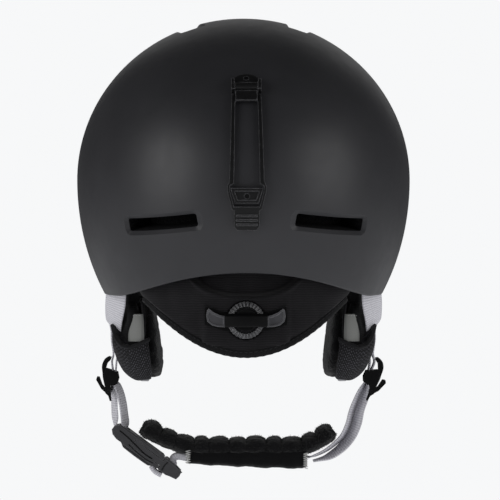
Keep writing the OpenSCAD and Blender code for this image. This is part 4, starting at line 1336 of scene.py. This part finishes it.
FLEECE_LINE = [[-66.5, -88.4], [-60, -91.8], [-48.5, -97], [-36, -100.8], [-18, -101.8],
               [4, -101.6], [24, -101.8], [38, -101], [46, -98.6], [53.6, -94.4], [58.8, -90.2]]
GATHERS = 11
SLEEVE_TALL, SLEEVE_WIDE = 6.3, 14.3     # half sizes of the gathered sleeve
BAND_FROM, BAND_TO, BAND_WIDE = -36.5, 41.5, 14.2


def chin_fleece():
    """A gathered fleece sleeve: it swells between its gathers, and is pulled in at each."""
    n, m = 360, 64
    line = spline(FLEECE_LINE, n)
    tangent = unit(np.gradient(line, axis=0))
    up = np.stack([-tangent[:, 1], tangent[:, 0]], axis=1)
    reach = run_length(line)
    s = reach / reach[-1]
    rng = np.random.default_rng(4)
    knots = np.linspace(0, 1, GATHERS + 1)
    cuts = knots + np.concatenate([[0], rng.uniform(-0.1, 0.1, GATHERS - 1), [0]]) / GATHERS
    cell = np.interp(s, cuts, np.arange(GATHERS + 1))
    swell = np.abs(np.sin(np.pi * cell))
    tall = np.interp(np.floor(cell - 1e-6), np.arange(GATHERS), rng.uniform(0.94, 1.06, GATHERS))
    full = np.clip(np.sin(np.pi * (0.02 + 0.96 * s)) * 7, 0, 1) ** 0.42
    k = turns(m)
    rings = []
    for i in range(n):
        upper = 0.56 + 0.5 * swell[i] ** 0.38
        lower = 0.86 + 0.08 * swell[i] ** 0.5
        lump = np.where(np.cos(k) > 0, upper * tall[i], lower)
        wide = 0.9 + 0.1 * swell[i] ** 0.5
        a = SLEEVE_TALL * full[i] * lump * spow(np.cos(k), 0.8)
        b = SLEEVE_WIDE * full[i] * wide * spow(np.sin(k), 0.72)
        rings.append(np.stack([line[i, 0] + up[i, 0] * a, STRAP_Y + b, line[i, 1] + up[i, 1] * a], axis=1))
    obj = loft("chin_fleece_sleeve", rings)
    roughen(obj, 8.0, 0.4, 21, 2)
    roughen(obj, 2.6, 0.2, 22, 2)
    return padding(obj, CHIN_FLEECE, "chin_fleece", "chin_pad")


def fibres(name, source, count, length, seed):
    """Short curled fibres that stand out of a fleece piece, each a closed three-sided thread."""
    rng = np.random.default_rng(seed)
    co, no = vertex_array(source), normal_array(source)
    k = turns(3)[:, None]
    points, faces = [], []
    for i in rng.integers(0, len(co), count):
        lean = unit(no[i] + rng.normal(scale=0.55, size=3))
        bend = rng.normal(scale=0.35, size=3)
        tall = length * rng.uniform(0.5, 1.25)
        side = unit(np.cross(lean, rng.normal(size=3)))
        other = np.cross(lean, side)
        faces += tube_faces(4, 3, len(points) * 3)
        for t, r in ((-0.25, 0.11), (0.35, 0.1), (0.7, 0.075), (1.0, 0.03)):
            mid = co[i] + lean * tall * t + bend * tall * max(t, 0) ** 2
            points.append(mid + r * (np.cos(k) * side + np.sin(k) * other))
    return outward(make_mesh(name, np.array(points), faces), weld=False)


chin = chin_fleece()
finish_piece(fibres("chin_fleece_fibres", chin, 6500, 0.75, 31), "chin_pad", CHIN_FLEECE)


def chin_band():
    n, m = 120, 44
    x = np.linspace(BAND_FROM, BAND_TO, n)
    t = np.linspace(-1, 1, n)
    k = turns(m)
    ends = (1 - np.abs(t) ** 26) ** 0.5
    low = -114.2 - 0.5 * (1 - t ** 2) - 0.042 * x + 0.25 * np.sin(x * 0.35)
    high = -103.6 + 1.2 * ease(20, 42, x) - 1.0 * ease(-20, -37, x)
    rings = []
    for i in range(n):
        mid, tall = (low[i] + high[i]) / 2, (high[i] - low[i]) / 2 * (0.8 + 0.2 * ends[i])
        z = mid + tall * spow(np.sin(k), 0.75)
        y = STRAP_Y + (BAND_WIDE - 0.9 * (1 - ends[i]) + 0.15 * math.sin(x[i] * 0.8)) * spow(np.cos(k), 0.4)
        rings.append(np.stack([np.full(m, x[i]), y, z], axis=1))
    obj = roughen(loft("chin_band_cloth", rings), 11, 0.3, 41, 2)
    padding(obj, BAND_CLOTH, "chin_band", "chin_pad")
    path = np.stack([x[3:-3], np.full(n - 6, STRAP_Y - BAND_WIDE - 0.15), low[3:-3] + 1.5], axis=1)
    thread = stitches("chin_band_stitches", path, (0, -1, 0), 2.0, 1.2, 0.16, DARK_THREAD)
    finish_piece(thread, "chin_pad", None)


def bar_tack(name, x0, width, z0, z1, rows, nodes=()):
    """White zigzag stitching that closes an end of the band."""
    t = np.linspace(0, rows, rows * 12 + 1)
    x = x0 + width * (2 * np.abs(t % 1 - 0.5) - 0.5)
    path = np.stack([x, 0 * t + STRAP_Y - BAND_WIDE - 0.4, z0 + (z1 - z0) * t / rows], axis=1)
    obj = sweep(name, path, (0, -1, 0), circle(0.27, 8), THREAD)
    finish_piece(obj, "chin_pad", None, nodes)


chin_band()
bar_tack("sleeve_tack_left", -36.4, 3.2, -103.4, -112.2, 6, ["chin_stitching"])
bar_tack("sleeve_tack_right", 40.6, 2.8, -105.2, -115.4, 7)


# ---- fit dial

DIAL_Y = -103.7
DIAL_HUB = 8.6       # the wheel is black inside this radius
PLATE_Y = -103.2     # the rear face of the housing's plate, which wings and bridge stand on
BRIDGE_HALF = 13.6
DIAL_TEETH = 30
# The wheel's half section: radius, height over DIAL_Y, and how deep the ridges are cut there
DIAL_FORM = [(2.1, 4.2, 0), (6.9, 4.2, 0), (7.3, 3.8, 0), (7.6, 3.3, 0), (8.0, 3.3, 0), (8.3, 4.0, 1),
             (8.9, 4.15, 1), (10.6, 3.3, 1), (11.5, 2.2, 1), (11.95, 1.0, 1), (11.9, 0.4, 0.6),
             (11.3, 0.05, 0), (2.1, 0.05, 0)]


def dial_wheel():
    """A wheel whose sloping skirt is cut into rounded ridges."""
    k = turns(DIAL_TEETH * 16)
    ridge = np.clip(0.5 + 1.1 * np.cos(DIAL_TEETH * k), 0, 1)
    rings = []
    for r, h, w in DIAL_FORM:
        sink = (1 - ridge) * w
        rr, hh = r - 0.35 * sink, h - 1.15 * sink * min(1, h / 2.2)
        rings.append(np.stack([rr * np.cos(k), DIAL_Y - hh, DIAL_Z + rr * np.sin(k)], axis=1))
    obj = outward(make_mesh("dial_wheel", rings, tube_faces(len(rings), len(k), looped=True)))
    smooth_by_angle(obj, 40)
    finish_piece(obj, "fit_dial", TEETH, ["fit_dial"])
    obj.data.materials.append(BLACK)
    for face in obj.data.polygons:
        if math.hypot(face.center.x, face.center.z - DIAL_Z * MM) < DIAL_HUB * MM:
            face.material_index = 1


WING = [(13.1, 2.6), (16.5, 3.2), (20.5, 5.0), (23.6, 7.4), (24.6, 6.4), (25.2, 2.6), (24.4, -0.8),
        (21.6, -3.2), (17.5, -4.2), (13.1, -4.4)]


def dial_wing(name, side):
    """A moulded plate with rounded edges and a sunk panel."""
    back = [(side * x, PLATE_Y + 0.012 * max(0, x - 13) ** 2, DIAL_Z + z) for x, z in WING]
    front = [(x, y - 4.3, z) for x, y, z in back]
    obj = loft("dial_wing_" + name, [back, front], smooth=False)
    with editing(obj) as bm:
        face = min(bm.faces, key=lambda f: f.calc_center_median().y if len(f.verts) == len(WING) else 1)
        for thick, deep in ((1.1, 0.0), (0.35, -0.55)):
            bmesh.ops.inset_region(bm, faces=[face], thickness=thick * MM, depth=deep * MM,
                                   use_even_offset=True)
    round_edges(obj, 0.45, 25)
    smooth_by_angle(apply_modifiers(obj), 35)
    finish_piece(obj, "helmet", SATIN, ["dial_wing_" + name])


def dial_bridge():
    """A bar across the wheel, on two posts."""
    mid_y = -110.6
    bar = np.array([[1.6, 4.3], [0, 4.3], [-1.6, 2.6], [-1.4, -3.5], [-0.6, -4.3], [1.6, -4.3]])
    rings = [[[x, mid_y + y * f, DIAL_Z + z * f] for y, z in bar]
             for x, f in ((-BRIDGE_HALF, 0.86), (0.4 - BRIDGE_HALF, 1), (BRIDGE_HALF - 0.4, 1),
                          (BRIDGE_HALF, 0.86))]
    parts = [loft("dial_bridge_bar", rings, smooth=False)]
    for side in (-1, 1):
        inner, outer = side * (BRIDGE_HALF - 1.4), side * (BRIDGE_HALF - 0.5)
        rings = [[[x, y, DIAL_Z + z] for x, z in ((outer, -4), (outer, 4), (inner, 4), (inner, -4))]
                 for y in (PLATE_Y, mid_y + 0.2)]
        parts.append(loft("post", rings, smooth=False))
    bridge = join("dial_bridge_bar", parts)
    round_edges(bridge, 0.35, 30)
    smooth_by_angle(apply_modifiers(bridge), 35)
    finish_piece(bridge, "helmet", BLACK, ["dial_bridge"])


dial_wheel()
for name, side in SIDES.items():
    dial_wing(name, side)
dial_bridge()


# ---- hard parts that the CAD gives

# Each part's material and how much its edges are rounded
HARD = {
    "dial_housing": (BLACK, 0.6), "dial_pinion": (NYLON, 0.12), "dial_screw": (STEEL, 0.25),
    "strap_anchors": (BLACK, 0.4), "retainer_anchor": (RUBBER, 0.4), "retainer_hook": (RUBBER, 0.45),
    "retainer_loop": (RUBBER, 0.5), "retainer_rivets": (BLACK, 0.25), "buckle_base": (BUCKLE, 0.8),
    "buckle_slider": (BUCKLE, 0.7), "base_magnet": (STEEL, 0.2), "slider_magnet": (STEEL, 0.2),
}
for name in SIDES:
    HARD["fit_band_" + name] = (NYLON, 0.15)
    HARD["divider_" + name] = (BLACK, 0.45)
    HARD["cam_lever_" + name] = (BLACK, 0.5)
    HARD["cam_pin_" + name] = (BLACK, 0.15)


def dress(node, mat, bevel):
    """Gives a CAD part its material and rounds its edges. Its mesh stays as it is."""
    obj = NODES[node]
    if not obj.material_slots:
        obj.data.materials.append(mat)
    for slot in obj.material_slots:
        slot.link = "OBJECT"
        slot.material = mat
    modify(obj, "DECIMATE", decimate_type="DISSOLVE", angle_limit=math.radians(0.8))
    round_edges(obj, bevel, 34)
    modify(obj, "WEIGHTED_NORMAL", keep_sharp=True)


for node, (mat, bevel) in HARD.items():
    dress(node, mat, bevel)


# ---- buckle

BUCKLE_FACE = STRAP_Y - 12.5


def face_line(name, points, radius, mat, sink):
    """A fine line along the buckle's rear face through points given along and across the buckle."""
    xz = spline(np.array([buckle_xz(s, m) for s, m in points], float), 60)
    path = np.stack([xz[:, 0], np.full(60, BUCKLE_FACE + sink), xz[:, 1]], axis=1)
    return sweep(name, path, (0, 1, 0), circle(radius, 10), mat)


def buckle_details():
    """Parting lines and raised lips on the buckle's rear face."""
    for name, points, radius, body in (
            ("buckle_parting_line", [(-22, 1.2), (-16, 0.9), (-8, -0.2), (0, -1.4), (6, -1.0)], 0.42,
             "chin_strap"),
            ("buckle_spring_line", [(-12, -2.6), (-6, -3.4), (2, -3.8), (8, -3.0)], 0.3, "chin_strap"),
            ("buckle_upper_lip", [(-24, 3.9), (-12, 4.2), (0, 4.2), (6, 4.2)], 0.5, "chin_strap"),
            ("buckle_lower_lip", [(-13, -5.9), (-4, -6.1), (5, -5.9)], 0.5, "chin_strap"),
            ("slider_upper_lip", [(14, 4.0), (20, 3.9), (27, 3.2)], 0.45, "chin_pad"),
            ("slider_step_line", [(15.5, 3.2), (15.0, 0), (15.5, -3.4)], 0.35, "chin_pad")):
        mat, sink = (BUCKLE, 0.1) if name.endswith("lip") else (BLACK, -0.05)
        finish_piece(face_line(name, points, radius, mat, sink), body, None)


buckle_details()


# ---- arches of the dividers

ARCH = [[-90.6, -55], [-91.4, -51.5], [-91.5, -48.2], [-90.3, -45.2], [-87.9, -43.4]]


for name, side in SIDES.items():
    points = ARCH if side < 0 else [hung(1, -x, z) for x, z in ARCH]
    line = spline([[x, STRAP_Y, z] for x, z in points], 40)
    arch = sweep("divider_arch_" + name, line, (0, 1, 0), web_section(15.6, 2.6, 0), BLACK)
    finish_piece(arch, "chin_strap", None)
